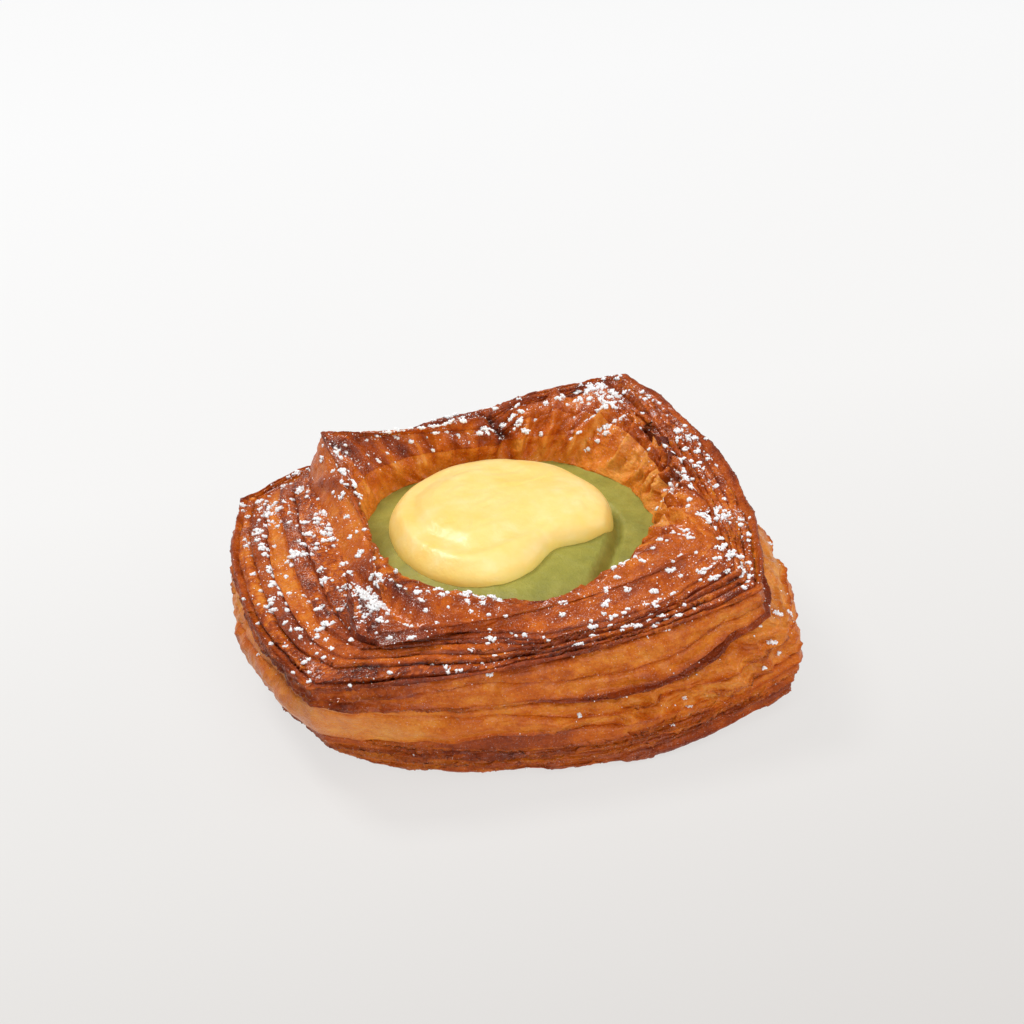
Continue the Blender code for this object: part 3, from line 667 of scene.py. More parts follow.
def write_skin_uv(mesh, row, column, columns, climbed):
    """UV in metres along the layers and across them, so that streaks follow the dough."""
    uv = mesh.uv_layers[0] if mesh.uv_layers else mesh.uv_layers.new()
    uv.name = "skin"
    corner = np.empty(len(mesh.loops), int)
    mesh.loops.foreach_get("vertex_index", corner)
    turn = column[corner].reshape(-1, 4)
    wraps = (turn.max(axis=1) - turn.min(axis=1))[:, None] > columns / 2
    turn = turn + columns * (wraps & (turn < columns / 2))
    along_it = turn.ravel() / columns * PERIMETER
    uv.data.foreach_set("uv", np.column_stack((along_it, climbed[row, column][corner])).ravel())


# ----------------------------------------------------------------------------------------------
# Loose flakes, thin sheets of crust that peel away at the edges of the layers
# ----------------------------------------------------------------------------------------------
FLAKE_LONG, FLAKE_WIDE = 17, 5          # corners of a flake, along its edge and across it
FLAKE_THICKNESS = 0.22 * MM
# layer: which edge they hang from. start and end: around. The rest: how many, and mm.
Flakes = namedtuple("Flakes", "layer start end count length width lift")
SIDE_FLAKES = (
    Flakes(1, -0.3, 1.3, 22, 9.0, 1.2, 0.3),
    Flakes(2, -0.3, 1.0, 26, 11.0, 1.5, 0.45),
    Flakes(3, -0.2, 1.0, 24, 12.0, 1.6, 0.5),
    Flakes(4, -0.2, 1.0, 18, 11.0, 1.6, 0.45),
    Flakes(5, 0.4, 1.0, 5, 9.0, 1.5, 0.4),
    Flakes(6, 0.5, 1.0, 5, 9.0, 1.3, 0.3),
    Flakes(7, -0.4, 1.0, 14, 8.0, 1.2, 0.4),
    Flakes(9, -0.6, 1.0, 12, 7.0, 1.0, 0.3),
    Flakes(2, 1.5, 3.7, 20, 10.0, 1.5, 0.6),
    Flakes(4, 1.7, 3.8, 22, 10.0, 1.5, 0.6),
    Flakes(6, 1.7, 3.6, 20, 9.0, 1.4, 0.5),
    Flakes(7, 1.7, 3.6, 20, 8.0, 1.2, 0.4),
)
TOP_FLAKES = (
    Flakes(1, -0.5, 1.8, 24, 7.0, 1.0, 0.35),
    Flakes(2, -0.4, 2.0, 24, 7.0, 1.1, 0.4),
    Flakes(3, 0.0, 2.0, 24, 7.0, 1.1, 0.4),
    Flakes(4, 0.0, 2.0, 20, 7.0, 1.1, 0.4),
    Flakes(5, 0.0, 2.0, 20, 6.0, 1.1, 0.4),
    Flakes(3, 2.0, 4.0, 20, 6.0, 1.0, 0.3),
)


def on_crust(shown, around, place):
    """Points and normals of a piece of crust at any around and place."""
    points, finish = shown
    normals = grid_normals(points)
    turn = np.mod(around, SIDES) / SIDES * points.shape[1]
    left = np.floor(turn).astype(int) % points.shape[1]
    right = (left + 1) % points.shape[1]
    across = (turn - np.floor(turn))[..., None]
    steps = np.arange(points.shape[0])
    row = np.array([np.interp(p, finish["place"][:, c], steps) for p, c in zip(place.ravel(), left.ravel())])
    row = row.reshape(place.shape)
    low = np.minimum(row.astype(int), len(steps) - 2)
    up = (row - low)[..., None]

    def blend(grid):
        return ((grid[low, left] * (1 - across) + grid[low, right] * across) * (1 - up)
                + (grid[low + 1, left] * (1 - across) + grid[low + 1, right] * across) * up)
    return blend(points), blend(normals), blend(finish["tone"][:, :, None])[..., 0]


def flake_grids(shown, edges, flakes, random):
    """Grids of points, and their tone, for flakes that hang along one edge of a piece of crust."""
    along_it = np.linspace(-1, 1, FLAKE_LONG)[None, :, None]
    from_edge = np.linspace(0, 1, FLAKE_WIDE)[None, None, :]
    count = flakes.count

    def spread(low, high):
        return random.uniform(low, high, (count, 1, 1))
    middle = spread(flakes.start, flakes.end)
    length = flakes.length * spread(0.45, 1.3) * MM / PERIMETER * SIDES
    width = flakes.width * spread(0.5, 1.4)
    ragged = (1 - np.abs(along_it) ** 2.4) ** 0.7 * (1 + 0.18 * random.uniform(-1, 1, (count, FLAKE_LONG, 1)))
    around = middle + along_it * length / 2 + np.zeros((1, 1, FLAKE_WIDE))
    edge = np.interp(np.mod(around, SIDES), np.arange(CASE_COLUMNS) * SIDES / CASE_COLUMNS, edges[flakes.layer],
                     period=SIDES)
    low, _, _ = on_crust(shown, around[:, :, :1], edge[:, :, :1])
    high, _, _ = on_crust(shown, around[:, :, :1], edge[:, :, :1] + 0.1)
    step = 0.1 * MM / np.maximum(np.linalg.norm(high - low, axis=3), 0.1 * MM)     # place for 1 mm
    overhang = spread(0.1, 0.45)
    down = ragged * (1 - from_edge) - (1 - overhang)
    points, normals, tone = on_crust(shown, around, edge - down * width * step)
    lift = flakes.lift * spread(0.4, 1.5) * (1 - from_edge) ** 1.5 * ragged * (1 + 0.5 * along_it * spread(-1, 1))
    points = points + normals * (lift + 0.10 - 0.25 * from_edge)[..., None] * MM
    points[..., 2] = np.maximum(points[..., 2], CASE_LOW.z + 0.3 * MM)
    return points, tone * 0.7 + spread(-0.02, 0.20) + 0.06 * (1 - from_edge)


def loose_flakes(name, sources):
    """All the flakes in one mesh: one small sheet, repeated by an array, then laid along the edges."""
    random = np.random.default_rng(91)
    grids = [flake_grids(shown, edges, flakes, random) for shown, edges, kinds in sources for flakes in kinds]
    points = np.concatenate([grid for grid, _ in grids])
    tone = np.concatenate([values for _, values in grids])
    deselect_all()
    bpy.ops.mesh.primitive_grid_add(x_subdivisions=FLAKE_LONG - 1, y_subdivisions=FLAKE_WIDE - 1, size=MM)
    piece = bpy.context.object
    piece.name = piece.data.name = name
    copies = piece.modifiers.new("copies", "ARRAY")
    copies.count = len(points)
    copies.use_relative_offset = False
    copies.use_constant_offset = True
    copies.constant_offset_displace = (0, 0, MM)
    bpy.ops.object.modifier_apply(modifier=copies.name)
    where = np.empty(len(piece.data.vertices) * 3)
    piece.data.vertices.foreach_get("co", where)
    where = where.reshape(-1, 3) / MM
    number = np.round(where[:, 2]).astype(int)
    column = np.round((where[:, 0] + 0.5) * (FLAKE_LONG - 1)).astype(int)
    row = np.round((where[:, 1] + 0.5) * (FLAKE_WIDE - 1)).astype(int)
    piece.data.vertices.foreach_set("co", points[number, column, row].ravel())
    for label, values in (("tone", tone), ("porous", 0.1 + 0 * tone), ("dust_and_sheen", 0.1 + 0 * tone)):
        attribute = piece.data.attributes.new(label, "FLOAT", "POINT")
        attribute.data.foreach_set("value", values[number, column, row].astype(np.float32))
    piece.data.uv_layers[0].name = "skin"
    sheet = piece.modifiers.new("sheet", "SOLIDIFY")
    sheet.thickness = FLAKE_THICKNESS
    sheet.offset = -1.0
    bpy.ops.object.modifier_apply(modifier=sheet.name)
    bpy.ops.object.shade_smooth()
    return piece


# ----------------------------------------------------------------------------------------------
# The creams
# ----------------------------------------------------------------------------------------------
CREAM_LEVEL = 26.3 * MM
CUSTARD_CENTRE = np.array((0.9, 8.0)) * MM
# the custard's outline, as (degrees round, radius in mm): a lobe at the front left, a notch at the
# front right and the tail of the swirl beside it
CUSTARD_OUTLINE = ((-180, 23.0), (-150, 25.2), (-130, 26.8), (-112, 26.2), (-95, 22.6), (-78, 18.0),
                   (-64, 16.2), (-50, 19.2), (-38, 22.2), (-26, 24.2), (-10, 24.6), (0, 25.0), (20, 24.8),
                   (40, 25.8), (60, 24.5), (80, 23.1), (100, 23.0), (120, 22.2), (145, 22.6))
CUSTARD_TOP = 34.6 * MM
# where the spoon went through the custard, and the edge of the mound of pistachio cream, mm
SPOON_PATH = ((14.2, 0.8), (5.8, -4.3), (-3.1, -7.9), (-11.0, -8.8), (-15.7, -3.7), (-18.5, 4.1),
              (-17.9, 14.7), (-12.7, 21.7), (-3.8, 24.9), (7.1, 23.7))
MOUND_EDGE = ((10.0, -24.0), (15.5, -15.8), (19.7, -9.8), (23.0, -3.8), (25.8, 3.9), (25.0, 11.0),
              (19.0, 19.0), (11.0, 24.0))


def beside_path(places, knots):
    """How far places (x, y) lie to the right of a path through the knots, and how far along it."""
    knots = np.array(knots) * MM
    steps = np.linspace(0, len(knots) - 1, 60)
    index = np.minimum(steps.astype(int), len(knots) - 2)
    part = (steps - index)[:, None]
    tangent = np.gradient(knots, axis=0)
    start, end, out, back = knots[index], knots[index + 1], tangent[index], tangent[index + 1]
    line = (start * (2 * part ** 3 - 3 * part ** 2 + 1) + out * (part ** 3 - 2 * part ** 2 + part)
            + end * (3 * part ** 2 - 2 * part ** 3) + back * (part ** 3 - part ** 2))
    away = np.full(places.shape[:-1], 1.0)
    side, share = np.zeros_like(away), np.zeros_like(away)
    for number in range(len(line) - 1):
        run = line[number + 1] - line[number]
        local = places - line[number]
        t = np.clip((local @ run) / (run @ run), 0, 1)
        off = local - t[..., None] * run
        distance = np.hypot(off[..., 0], off[..., 1])
        nearer = distance < away
        away = np.where(nearer, distance, away)
        side = np.where(nearer, np.sign(local[..., 0] * run[1] - local[..., 1] * run[0]), side)
        share = np.where(nearer, (number + t) / (len(line) - 1), share)
    return away * side, share


def cream_surface(places):
    """Height of the pistachio cream: a spooned mound with a step down at its right."""
    right_of, _ = beside_path(places, MOUND_EDGE)
    centre = np.array((2.0, 1.5)) * MM
    far = np.hypot(*(np.moveaxis(places, -1, 0) - centre[:, None, None]))
    mound = smoothstep(-0.6 * MM, 2.6 * MM, -right_of) * (1 - smoothstep(19 * MM, 31 * MM, far))
    groove = np.exp(-((right_of - 0.3 * MM) / (0.9 * MM)) ** 2)
    angle = np.arctan2(places[..., 1] - centre[1], places[..., 0] - centre[0])
    strokes = lattice_noise(far / (5 * MM), (angle + pi) / tau * 90, 61, 90)
    lumps = lattice_noise(places[..., 0] / (5 * MM) + 40, places[..., 1] / (5 * MM) + 40, 62)
    return (CREAM_LEVEL + 2.2 * MM * mound - 0.9 * MM * groove
            + 0.10 * MM * strokes * smoothstep(8 * MM, 16 * MM, far) + 0.18 * MM * lumps)


def pistachio_disc():
    columns, rows = 360, 121
    around = np.arange(columns) * SIDES / columns
    rim = section_ring(SECTIONS[int(AT["cream line"])], around)[:, :2]
    centre = rim.mean(axis=0)
    outward = (rim - centre) / np.linalg.norm(rim - centre, axis=1)[:, None]
    rim = rim + outward * 1.8 * MM
    share = np.concatenate((np.linspace(0.5, 1.0, 9)[:-1], np.linspace(1.0, 0.002, rows - 8)))
    places = centre + (rim - centre) * share[:, None, None]
    points = np.concatenate((places, cream_surface(places)[:, :, None]), axis=2)
    points[:8, :, 2] = CREAM_LEVEL - 5 * MM
    piece, _, _ = pressed_tube("pistachio_cream_mound", points, {}, 2)
    cap_ends(piece)
    return piece


def custard_radius(angle):
    """The knots of the outline joined by straight lines, rounded over by averaging nearby angles."""
    degrees, radii = np.array(CUSTARD_OUTLINE, float).T
    turns = (np.interp(np.degrees(angle) + turn, degrees, radii, period=360) for turn in (-6, -2, 2, 6))
    return sum(turns) / 4 * MM


def custard_blob():
    columns, rows = 360, 121
    angle = np.arange(columns) / columns * tau
    radius = custard_radius(angle)
    outline = np.column_stack((np.cos(angle) * radius, np.sin(angle) * radius))
    under = 8
    climb = np.concatenate((np.zeros(under), np.linspace(0.0, 0.5 * pi, rows - under)))
    share = np.cos(climb) ** (2 / 2.7)
    share[:under] = np.linspace(0.6, 0.985, under)
    share[-1] = 0.004
    places = CUSTARD_CENTRE + outline * share[:, None, None]
    rise = np.sin(climb)[:, None] ** (2 / 2.2)
    seat = cream_surface(places)
    seat = np.where(climb[:, None] > 0, seat, seat - 0.6 * MM)
    top = seat + (CUSTARD_TOP - seat) * rise
    inside, way = beside_path(places, SPOON_PATH)
    fade = smoothstep(0.0, 0.10, way) * (1 - smoothstep(0.72, 1.0, way)) * smoothstep(0.25, 0.8, rise)
    top += fade * 0.50 * MM * np.exp(-((inside + 1.8 * MM) / (2.2 * MM)) ** 2)
    top -= fade * 1.00 * MM * np.exp(-((inside - 1.8 * MM) / (2.6 * MM)) ** 2)
    drag = lattice_noise(inside / (1.3 * MM) + 50, way * 9, 71)
    lumps = lattice_noise(places[..., 0] / (6 * MM) + 40, places[..., 1] / (6 * MM) + 40, 72)
    top += (0.10 * drag + 0.30 * lumps) * MM * smoothstep(0.3, 0.9, rise)
    points = np.concatenate((places, top[:, :, None]), axis=2)
    piece, _, _ = pressed_tube("custard_dollop", points, {}, 2)
    cap_ends(piece)
    return piece


# ----------------------------------------------------------------------------------------------
# Sugar
# ----------------------------------------------------------------------------------------------
def one_grain():
    """The corners and faces of one grain, from a small UV sphere."""
    deselect_all()
    bpy.ops.mesh.primitive_uv_sphere_add(segments=4, ring_count=3, radius=1.0)
    grain = bpy.context.object
    corners = np.array([vertex.co[:] for vertex in grain.data.vertices])
    grain.data.calc_loop_triangles()
    faces = np.array([face.vertices[:] for face in grain.data.loop_triangles])
    bpy.ops.object.delete()
    return corners, faces


def sugar_spots(shown, count, random):
    """Places on the crust, with their normals, picked by how thick the sugar lies there."""
    spots, normals, weights = [], [], []
    for points, finish in shown:
        normal = grid_normals(points)
        side = np.linalg.norm(np.roll(points, -1, axis=1) - points, axis=2)
        up = np.linalg.norm(np.gradient(points, axis=0), axis=2)
        open_to_sky = (finish["place"] > 0.9) & (finish["place"] < 10.6)
        weight = side * up * finish["sugar"] * np.clip(normal[:, :, 2], 0, 1) ** 4 * open_to_sky
        spots.append(points.reshape(-1, 3))
        normals.append(normal.reshape(-1, 3))
        weights.append(weight.ravel())
    spots, normals, weights = (np.concatenate(part) for part in (spots, normals, weights))
    drift = lattice_noise(spots[:, 0] / (7 * MM) + 60, spots[:, 1] / (7 * MM) + 60, 83)
    weights = weights * np.exp(1.6 * drift)
    chosen = random.choice(len(spots), size=count, p=weights / weights.sum())
    return spots[chosen], normals[chosen]


def sugar(name, shown, clumps, singles):
    """Icing sugar: clumps of grains, and single grains between them, in one mesh."""
    random = np.random.default_rng(5)
    corners, faces = one_grain()
    spots, normals = sugar_spots(shown, clumps, random)
    size = np.clip(random.lognormal(-0.70, 0.45, clumps), 0.25, 1.2) * MM
    number = np.clip((4 + (size / (0.20 * MM)) ** 1.8).astype(int), 4, 40)
    owner = np.repeat(np.arange(clumps), number)
    centre, normal, wide = spots[owner], normals[owner], size[owner]
    turn = random.uniform(0, tau, len(owner))
    away = np.sqrt(random.uniform(0, 1, len(owner))) * wide
    first = np.cross(normal, (0.3, 0.9, 0.1))
    first /= np.linalg.norm(first, axis=1)[:, None]
    second = np.cross(normal, first)
    stretch = random.uniform(0.55, 1.0, clumps)[owner]
    where = (centre + first * (np.cos(turn) * away)[:, None] + second * (np.sin(turn) * away * stretch)[:, None]
             + normal * (random.uniform(-0.05, 0.22, len(owner)) * wide)[:, None])
    grain = random.uniform(0.22, 0.46, len(owner)) * MM * (1.15 - 0.5 * away / wide)
    lone, _ = sugar_spots(shown, singles, random)
    where = np.concatenate((where, lone))
    grain = np.concatenate((grain, np.clip(random.lognormal(-2.1, 0.35, singles), 0.06, 0.26) * MM))
    shape = corners[None] * random.uniform(0.75, 1.25, (len(where), len(corners), 1))
    twist = random.uniform(0, tau, len(where))
    turned = shape.copy()
    turned[:, :, 0] = shape[:, :, 0] * np.cos(twist)[:, None] - shape[:, :, 1] * np.sin(twist)[:, None]
    turned[:, :, 1] = shape[:, :, 0] * np.sin(twist)[:, None] + shape[:, :, 1] * np.cos(twist)[:, None]
    vertices = (where[:, None] + turned * grain[:, None, None]).reshape(-1, 3)
    all_faces = (faces[None] + np.arange(len(where))[:, None, None] * len(corners)).reshape(-1, 3)
    mesh = bpy.data.meshes.new(name)
    mesh.from_pydata(vertices.tolist(), [], all_faces.tolist())
    piece = bpy.data.objects.new(name, mesh)
    bpy.context.scene.collection.objects.link(piece)
    make_active(piece)
    bpy.ops.object.shade_smooth()
    return piece


# ----------------------------------------------------------------------------------------------
# Materials
# ----------------------------------------------------------------------------------------------
def add_node(tree, kind, settings=None, links=None):
    """Adds a node, sets its properties or its inputs' values, and links inputs from sockets."""
    node = tree.nodes.new(kind)
    for key, value in (settings or {}).items():
        if isinstance(key, str) and hasattr(node, key) and key not in node.inputs:
            setattr(node, key, value)
        else:
            node.inputs[key].default_value = value
    for key, socket in (links or {}).items():
        tree.links.new(socket, node.inputs[key])
    return node


def new_material(name):
    material = bpy.data.materials.new(name)
    material.use_nodes = True
    tree = material.node_tree
    shader = tree.nodes["Principled BSDF"]
    return material, tree, shader


def colour_ramp(tree, factor, stops):
    ramp = add_node(tree, "ShaderNodeValToRGB", links={"Fac": factor})
    elements = ramp.color_ramp.elements
    while len(elements) < len(stops):
        elements.new(0.5)
    for element, (position, colour) in zip(elements, stops):
        element.position = position
        element.color = linear(colour) if isinstance(colour, str) else (colour, colour, colour, 1)
    return ramp.outputs["Color"]


def noise(tree, vector, scale, detail=2.0, roughness=0.5, distortion=0.0):
    return add_node(tree, "ShaderNodeTexNoise",
                    {"Scale": scale, "Detail": detail, "Roughness": roughness, "Distortion": distortion},
                    {"Vector": vector}).outputs["Fac"]


def baked_dough():
    """Laminated dough, baked golden and glazed with egg: straw between the layers, nearly black
    at their thin edges, with a thin uneven gloss and a dusting of sugar that also paints a pale sheen
    on the faces that look up."""
    material, tree, shader = new_material("egg_glazed_baked_dough")
    values = {name: add_node(tree, "ShaderNodeAttribute", {"attribute_name": name}).outputs["Fac"]
              for name in ("tone", "porous", "dust_and_sheen")}
    uv = add_node(tree, "ShaderNodeUVMap", {"uv_map": "skin"}).outputs["UV"]
    place = add_node(tree, "ShaderNodeTexCoord").outputs["Object"]
    # streaks along the layers, 6 mm long and 0.5 mm wide
    stretched = add_node(tree, "ShaderNodeMapping", {"Scale": (160.0, 1900.0, 1.0)}, {"Vector": uv})
    streaks = noise(tree, stretched.outputs["Vector"], 1.0, 4.0, 0.65)
    blotches = noise(tree, place, 280.0, 3.0, 0.55)          # browning, 3.5 mm across
    pores = noise(tree, place, 2000.0, 3.0, 0.6)             # open crumb, 0.5 mm across
    colour_shift = add_node(tree, "ShaderNodeMath", {"operation": "MULTIPLY_ADD", 1: 0.10},
                            {0: streaks, 2: values["tone"]})
    colour_shift = add_node(tree, "ShaderNodeMath", {"operation": "MULTIPLY_ADD", 1: 0.44},
                            {0: blotches, 2: colour_shift.outputs[0]})
    colour_shift = add_node(tree, "ShaderNodeMath", {"operation": "MULTIPLY_ADD", 1: 0.28},
                            {0: pores, 2: colour_shift.outputs[0]})
    centred = add_node(tree, "ShaderNodeMath", {"operation": "SUBTRACT", 1: 0.44},
                       {0: colour_shift.outputs[0]})
    colour = colour_ramp(tree, centred.outputs[0], (
        (0.00, "#eda148"), (0.20, "#dc7e22"), (0.36, "#c6600e"), (0.52, "#a64608"),
        (0.68, "#84320a"), (0.84, "#62220e"), (1.00, "#44160c")))
    # the finest sugar, grains 0.25 mm across, thick where it was sifted; the same pale mix is also a painted sheen on
    # the faces that look up
    grains = noise(tree, place, 3400.0, 2.0, 0.7)
    dust_sheen_mask = add_node(tree, "ShaderNodeMath", {"operation": "MULTIPLY_ADD", 1: 0.16},
                      {0: values["dust_and_sheen"], 2: grains})
    dust_sheen_mask = add_node(tree, "ShaderNodeMapRange", {"From Min": 0.63, "From Max": 0.85},
                      {"Value": dust_sheen_mask.outputs[0]})
    dust_sheen_mix = add_node(tree, "ShaderNodeMix", {"data_type": "RGBA", "B": linear("#efe3da")},
                        {"Factor": dust_sheen_mask.outputs["Result"], "A": colour})
    tree.links.new(dust_sheen_mix.outputs["Result"], shader.inputs["Base Color"])
    uneven = add_node(tree, "ShaderNodeMath", {"operation": "MULTIPLY_ADD", 1: 0.30},
                      {0: values["porous"], 2: pores})
    rough = colour_ramp(tree, uneven.outputs[0], ((0.35, 0.22), (0.85, 0.55)))
    tree.links.new(rough, shader.inputs["Roughness"])
    shader.inputs["IOR"].default_value = 1.47
    shader.inputs["Specular IOR Level"].default_value = 0.14
    shader.inputs["Coat Weight"].default_value = 0.22
    shader.inputs["Coat Roughness"].default_value = 0.08
    shader.inputs["Subsurface Weight"].default_value = 0.10
    shader.inputs["Subsurface Radius"].default_value = (0.004, 0.0015, 0.0006)
    shader.inputs["Subsurface Scale"].default_value = 0.4
    fine = add_node(tree, "ShaderNodeBump", {"Strength": 0.7, "Distance": 0.0004}, {"Height": pores})
    wavy = add_node(tree, "ShaderNodeBump", {"Strength": 0.4, "Distance": 0.0005},
                    {"Height": streaks, "Normal": fine.outputs["Normal"]})
    dimples = add_node(tree, "ShaderNodeBump", {"Strength": 0.5, "Distance": 0.0009},
                       {"Height": noise(tree, place, 900.0, 2.0, 0.5), "Normal": wavy.outputs["Normal"]})
    tree.links.new(dimples.outputs["Normal"], shader.inputs["Normal"])
    return material


def custard_finish():
    """Vanilla custard, thick and spooned: a satin skin that light goes well into."""
    material, tree, shader = new_material("spooned_vanilla_custard")
    place = add_node(tree, "ShaderNodeTexCoord").outputs["Object"]
    cloud = noise(tree, place, 160.0, 3.0, 0.5)
    colour = colour_ramp(tree, cloud, ((0.30, "#fcd272"), (0.55, "#fcda88"), (0.75, "#fce29e")))
    # painted light: the lower edge, from 27 mm up to 31 mm above the table, is painted a brighter yellow as if lit
    # from the front
    height = add_node(tree, "ShaderNodeSeparateXYZ", links={"Vector": place}).outputs["Z"]
    painted_light_band = add_node(tree, "ShaderNodeMapRange", {"From Min": 0.0265, "From Max": 0.0315}, {"Value": height})
    # painted light: a brighter yellow low on the custard
    painted_light_edge = add_node(tree, "ShaderNodeMix", {"data_type": "RGBA", "A": linear("#ffea78")},
                     {"Factor": painted_light_band.outputs["Result"], "B": colour})
    tree.links.new(painted_light_edge.outputs["Result"], shader.inputs["Base Color"])
    shader.inputs["Roughness"].default_value = 0.36
    shader.inputs["IOR"].default_value = 1.45
    shader.inputs["Subsurface Weight"].default_value = 0.30
    shader.inputs["Subsurface Radius"].default_value = (0.0030, 0.0027, 0.0014)
    shader.inputs["Subsurface Scale"].default_value = 0.6
    drag = add_node(tree, "ShaderNodeBump", {"Strength": 0.25, "Distance": 0.0006},
                    {"Height": noise(tree, place, 500.0, 3.0, 0.6)})
    tree.links.new(drag.outputs["Normal"], shader.inputs["Normal"])
    return material


def pistachio_finish():
    """Pistachio frangipane, spread soft and baked: a dull green with darker crumbs of nut."""
    material, tree, shader = new_material("spread_pistachio_cream")
    place = add_node(tree, "ShaderNodeTexCoord").outputs["Object"]
    cloud = noise(tree, place, 220.0, 4.0, 0.6)
    colour = colour_ramp(tree, cloud, ((0.30, "#898637"), (0.52, "#98933e"), (0.75, "#a49e48")))
    nuts = noise(tree, place, 2600.0, 2.0, 0.6)
    speckle = add_node(tree, "ShaderNodeMapRange", {"From Min": 0.66, "From Max": 0.74, "To Max": 0.5},
                       {"Value": nuts})
    mixed = add_node(tree, "ShaderNodeMix", {"data_type": "RGBA", "B": linear("#6d6a34")},
                     {"Factor": speckle.outputs["Result"], "A": colour})
    tree.links.new(mixed.outputs["Result"], shader.inputs["Base Color"])
    shader.inputs["Roughness"].default_value = 0.5
    shader.inputs["IOR"].default_value = 1.45
    shader.inputs["Subsurface Weight"].default_value = 0.2
    shader.inputs["Subsurface Radius"].default_value = (0.002, 0.002, 0.0008)
    shader.inputs["Subsurface Scale"].default_value = 0.5
    grain = add_node(tree, "ShaderNodeBump", {"Strength": 0.35, "Distance": 0.0004}, {"Height": nuts})
    soft = add_node(tree, "ShaderNodeBump", {"Strength": 0.4, "Distance": 0.0008},
                    {"Height": noise(tree, place, 600.0, 3.0, 0.5), "Normal": grain.outputs["Normal"]})
    tree.links.new(soft.outputs["Normal"], shader.inputs["Normal"])
    return material


def sugar_finish():
    """Icing sugar, sifted: matt white, with light going through the small clumps."""
    material, tree, shader = new_material("sifted_icing_sugar")
    shader.inputs["Base Color"].default_value = linear("#ffffff")
    shader.inputs["Roughness"].default_value = 0.8
    shader.inputs["Subsurface Weight"].default_value = 0.3
    shader.inputs["Subsurface Radius"].default_value = (0.001, 0.0009, 0.0008)
    shader.inputs["Subsurface Scale"].default_value = 0.3
    return material


def plain(name, colour, roughness):
    material, tree, shader = new_material(name)
    shader.inputs["Base Color"].default_value = linear(colour)
    shader.inputs["Roughness"].default_value = roughness
    return material


# ----------------------------------------------------------------------------------------------
# Stage
# ----------------------------------------------------------------------------------------------
AZIMUTH, ELEVATION = radians(-20), radians(32)
CAMERA_DISTANCE = 0.60
LENS = 100.0


def add_camera():
    aim = Vector((2.4 * MM, 3.2 * MM, 15 * MM))
    back = Vector((sin(AZIMUTH) * cos(ELEVATION), -cos(AZIMUTH) * cos(ELEVATION), sin(ELEVATION)))
    data = bpy.data.cameras.new("camera")
    data.lens = LENS
    data.clip_start = 0.01
    camera = bpy.data.objects.new("camera", data)
    bpy.context.scene.collection.objects.link(camera)
    camera.location = aim + back * CAMERA_DISTANCE
    # the pastry sits a little below the middle of the picture
    upward = Vector((-sin(AZIMUTH) * sin(ELEVATION), cos(AZIMUTH) * sin(ELEVATION), cos(ELEVATION)))
    look = aim + upward * 15.4 * MM
    camera.rotation_euler = (look - camera.location).to_track_quat("-Z", "Y").to_euler()
    bpy.context.scene.camera = camera


def add_light(name, location, target, size, power):
    data = bpy.data.lights.new(name, "AREA")
    data.shape = "DISK"
    data.size = size
    data.energy = power
    light = bpy.data.objects.new(name, data)
    bpy.context.scene.collection.objects.link(light)
    light.location = location
    light.rotation_euler = (Vector(target) - Vector(location)).to_track_quat("-Z", "Y").to_euler()


def glowing_card():
    """Dark grey card that glows, a painted light that makes it look white and fills in shadows; it is a little greyer
    towards the front, where it glows less, a painted shade.
    """
    material, tree, shader = new_material("grey_card_glowing")
    place = add_node(tree, "ShaderNodeTexCoord").outputs["Object"]
    apart = add_node(tree, "ShaderNodeSeparateXYZ", links={"Vector": place})
    far = add_node(tree, "ShaderNodeMapRange", {"From Min": -0.22, "From Max": 0.30},
                   {"Value": apart.outputs["Y"]})
    colour = colour_ramp(tree, far.outputs["Result"], ((0.0, "#5c5b5a"), (0.45, "#5f5f5e"), (1.0, "#626262")))
    tree.links.new(colour, shader.inputs["Base Color"])
    # painted light: the card glows, weaker towards the front
    glow = colour_ramp(tree, far.outputs["Result"], ((0.0, "#c2bebb"), (0.35, "#dbd9d7"), (0.6, "#e6e5e4"), (1.0, "#eaeaea")))
    tree.links.new(glow, shader.inputs["Emission Color"])
    shader.inputs["Emission Strength"].default_value = 0.985
    shader.inputs["Roughness"].default_value = 0.9
    shader.inputs["Specular IOR Level"].default_value = 0.2
    return material


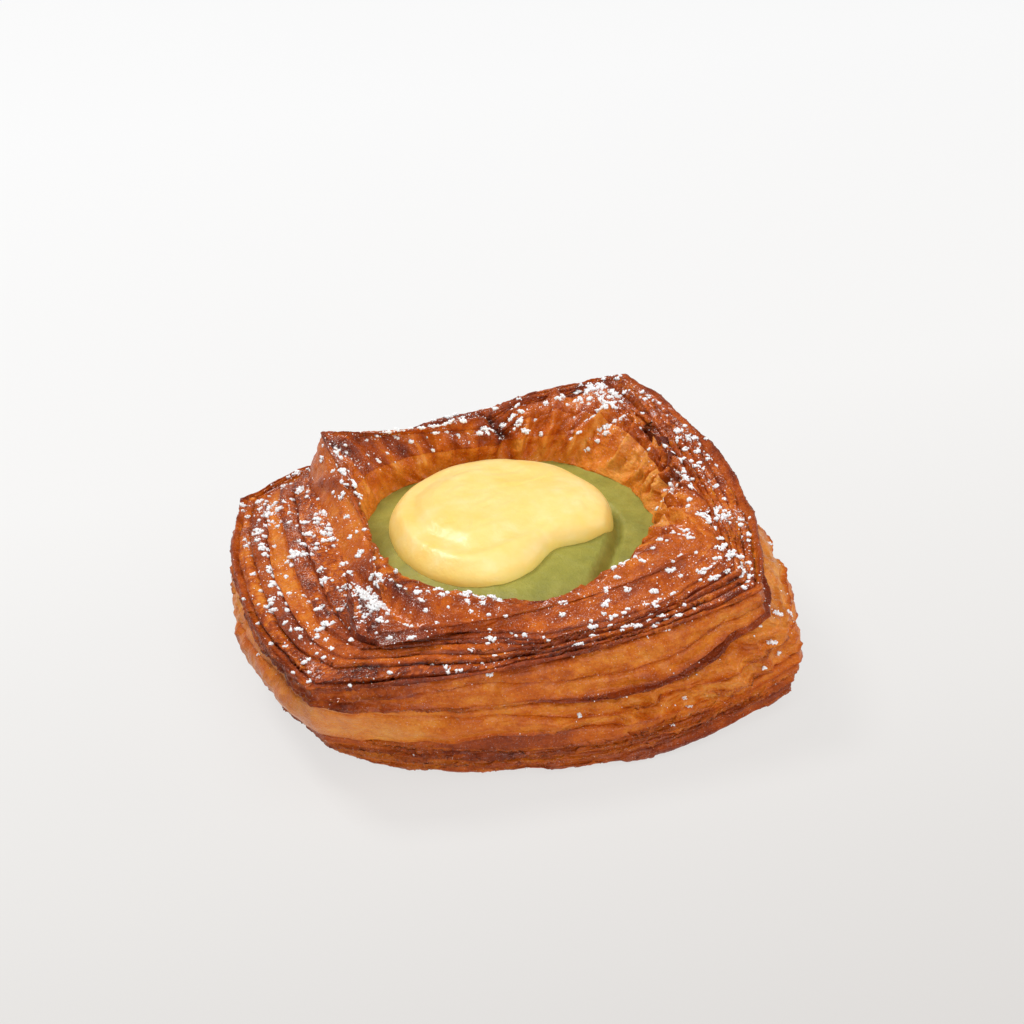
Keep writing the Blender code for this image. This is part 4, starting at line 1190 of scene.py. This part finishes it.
def add_stage():
    deselect_all()
    bpy.ops.mesh.primitive_plane_add(size=12, location=(0, 0, 0))
    floor = bpy.context.object
    floor.name = "floor"
    floor.data.materials.append(glowing_card())
    world = bpy.data.worlds.new("studio")
    bpy.context.scene.world = world
    world.use_nodes = True
    world.node_tree.nodes["Background"].inputs["Color"].default_value = (1.0, 0.995, 0.985, 1)
    world.node_tree.nodes["Background"].inputs["Strength"].default_value = 0.20
    add_light("key", (-0.40, 0.45, 0.90), (0, 0, 0.02), 0.30, 6.3)
    add_light("glint", (-0.25, 0.30, 1.00), (0, 0, 0.02), 0.03, 0.8)
    add_light("front_glint", (-0.30, -0.80, 0.80), (0, 0, 0.02), 0.03, 0.6)
    add_light("overhead", (0.10, -0.25, 1.20), (0, 0, 0.02), 1.10, 5.7)
    add_light("front_fill", (0.15, -1.10, 0.35), (0, 0, 0.02), 0.90, 5.6)
    add_light("right_fill", (1.0, -0.1, 0.45), (0, 0, 0.02), 0.60, 2.0)
    bpy.context.scene.view_settings.view_transform = "Standard"


# ----------------------------------------------------------------------------------------------
# Making
# ----------------------------------------------------------------------------------------------
dough = baked_dough()
side_piece, side_shown, side_edges = case_piece("crust_side_layers", SIDE_LAYERS, 11, 0.33 * MM,
                                                None, (0.75, 8 * MM))
top_piece, top_shown, top_edges = case_piece("crust_top_sheet", TOP_LAYERS, 23, 0.20 * MM,
                                             (0.80, 6 * MM), (0.98, 8 * MM))
inner_piece, inner_shown, inner_edges = case_piece("crust_inner_fold", INNER_LAYERS, 37, 0.28 * MM, (0.92, 10 * MM), None)
flakes = loose_flakes("crust_flakes", ((side_shown, side_edges, SIDE_FLAKES), (top_shown, top_edges, TOP_FLAKES)))
for crust in (side_piece, top_piece, inner_piece, flakes):
    print(crust.name, len(crust.data.polygons))
    crust.data.materials.append(dough)
    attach(crust, "root")
    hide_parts("dough_case")
icing = sugar("icing_sugar", (side_shown, top_shown, inner_shown), 840, 3200)
print("icing", len(icing.data.polygons))
icing.data.materials.append(sugar_finish())
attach(icing, "root")
cream = pistachio_disc()
cream.data.materials.append(pistachio_finish())
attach(cream, "root")
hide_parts("pistachio_cream")
custard = custard_blob()
custard.data.materials.append(custard_finish())
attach(custard, "root")
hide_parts("custard_swirl")
add_stage()
add_camera()
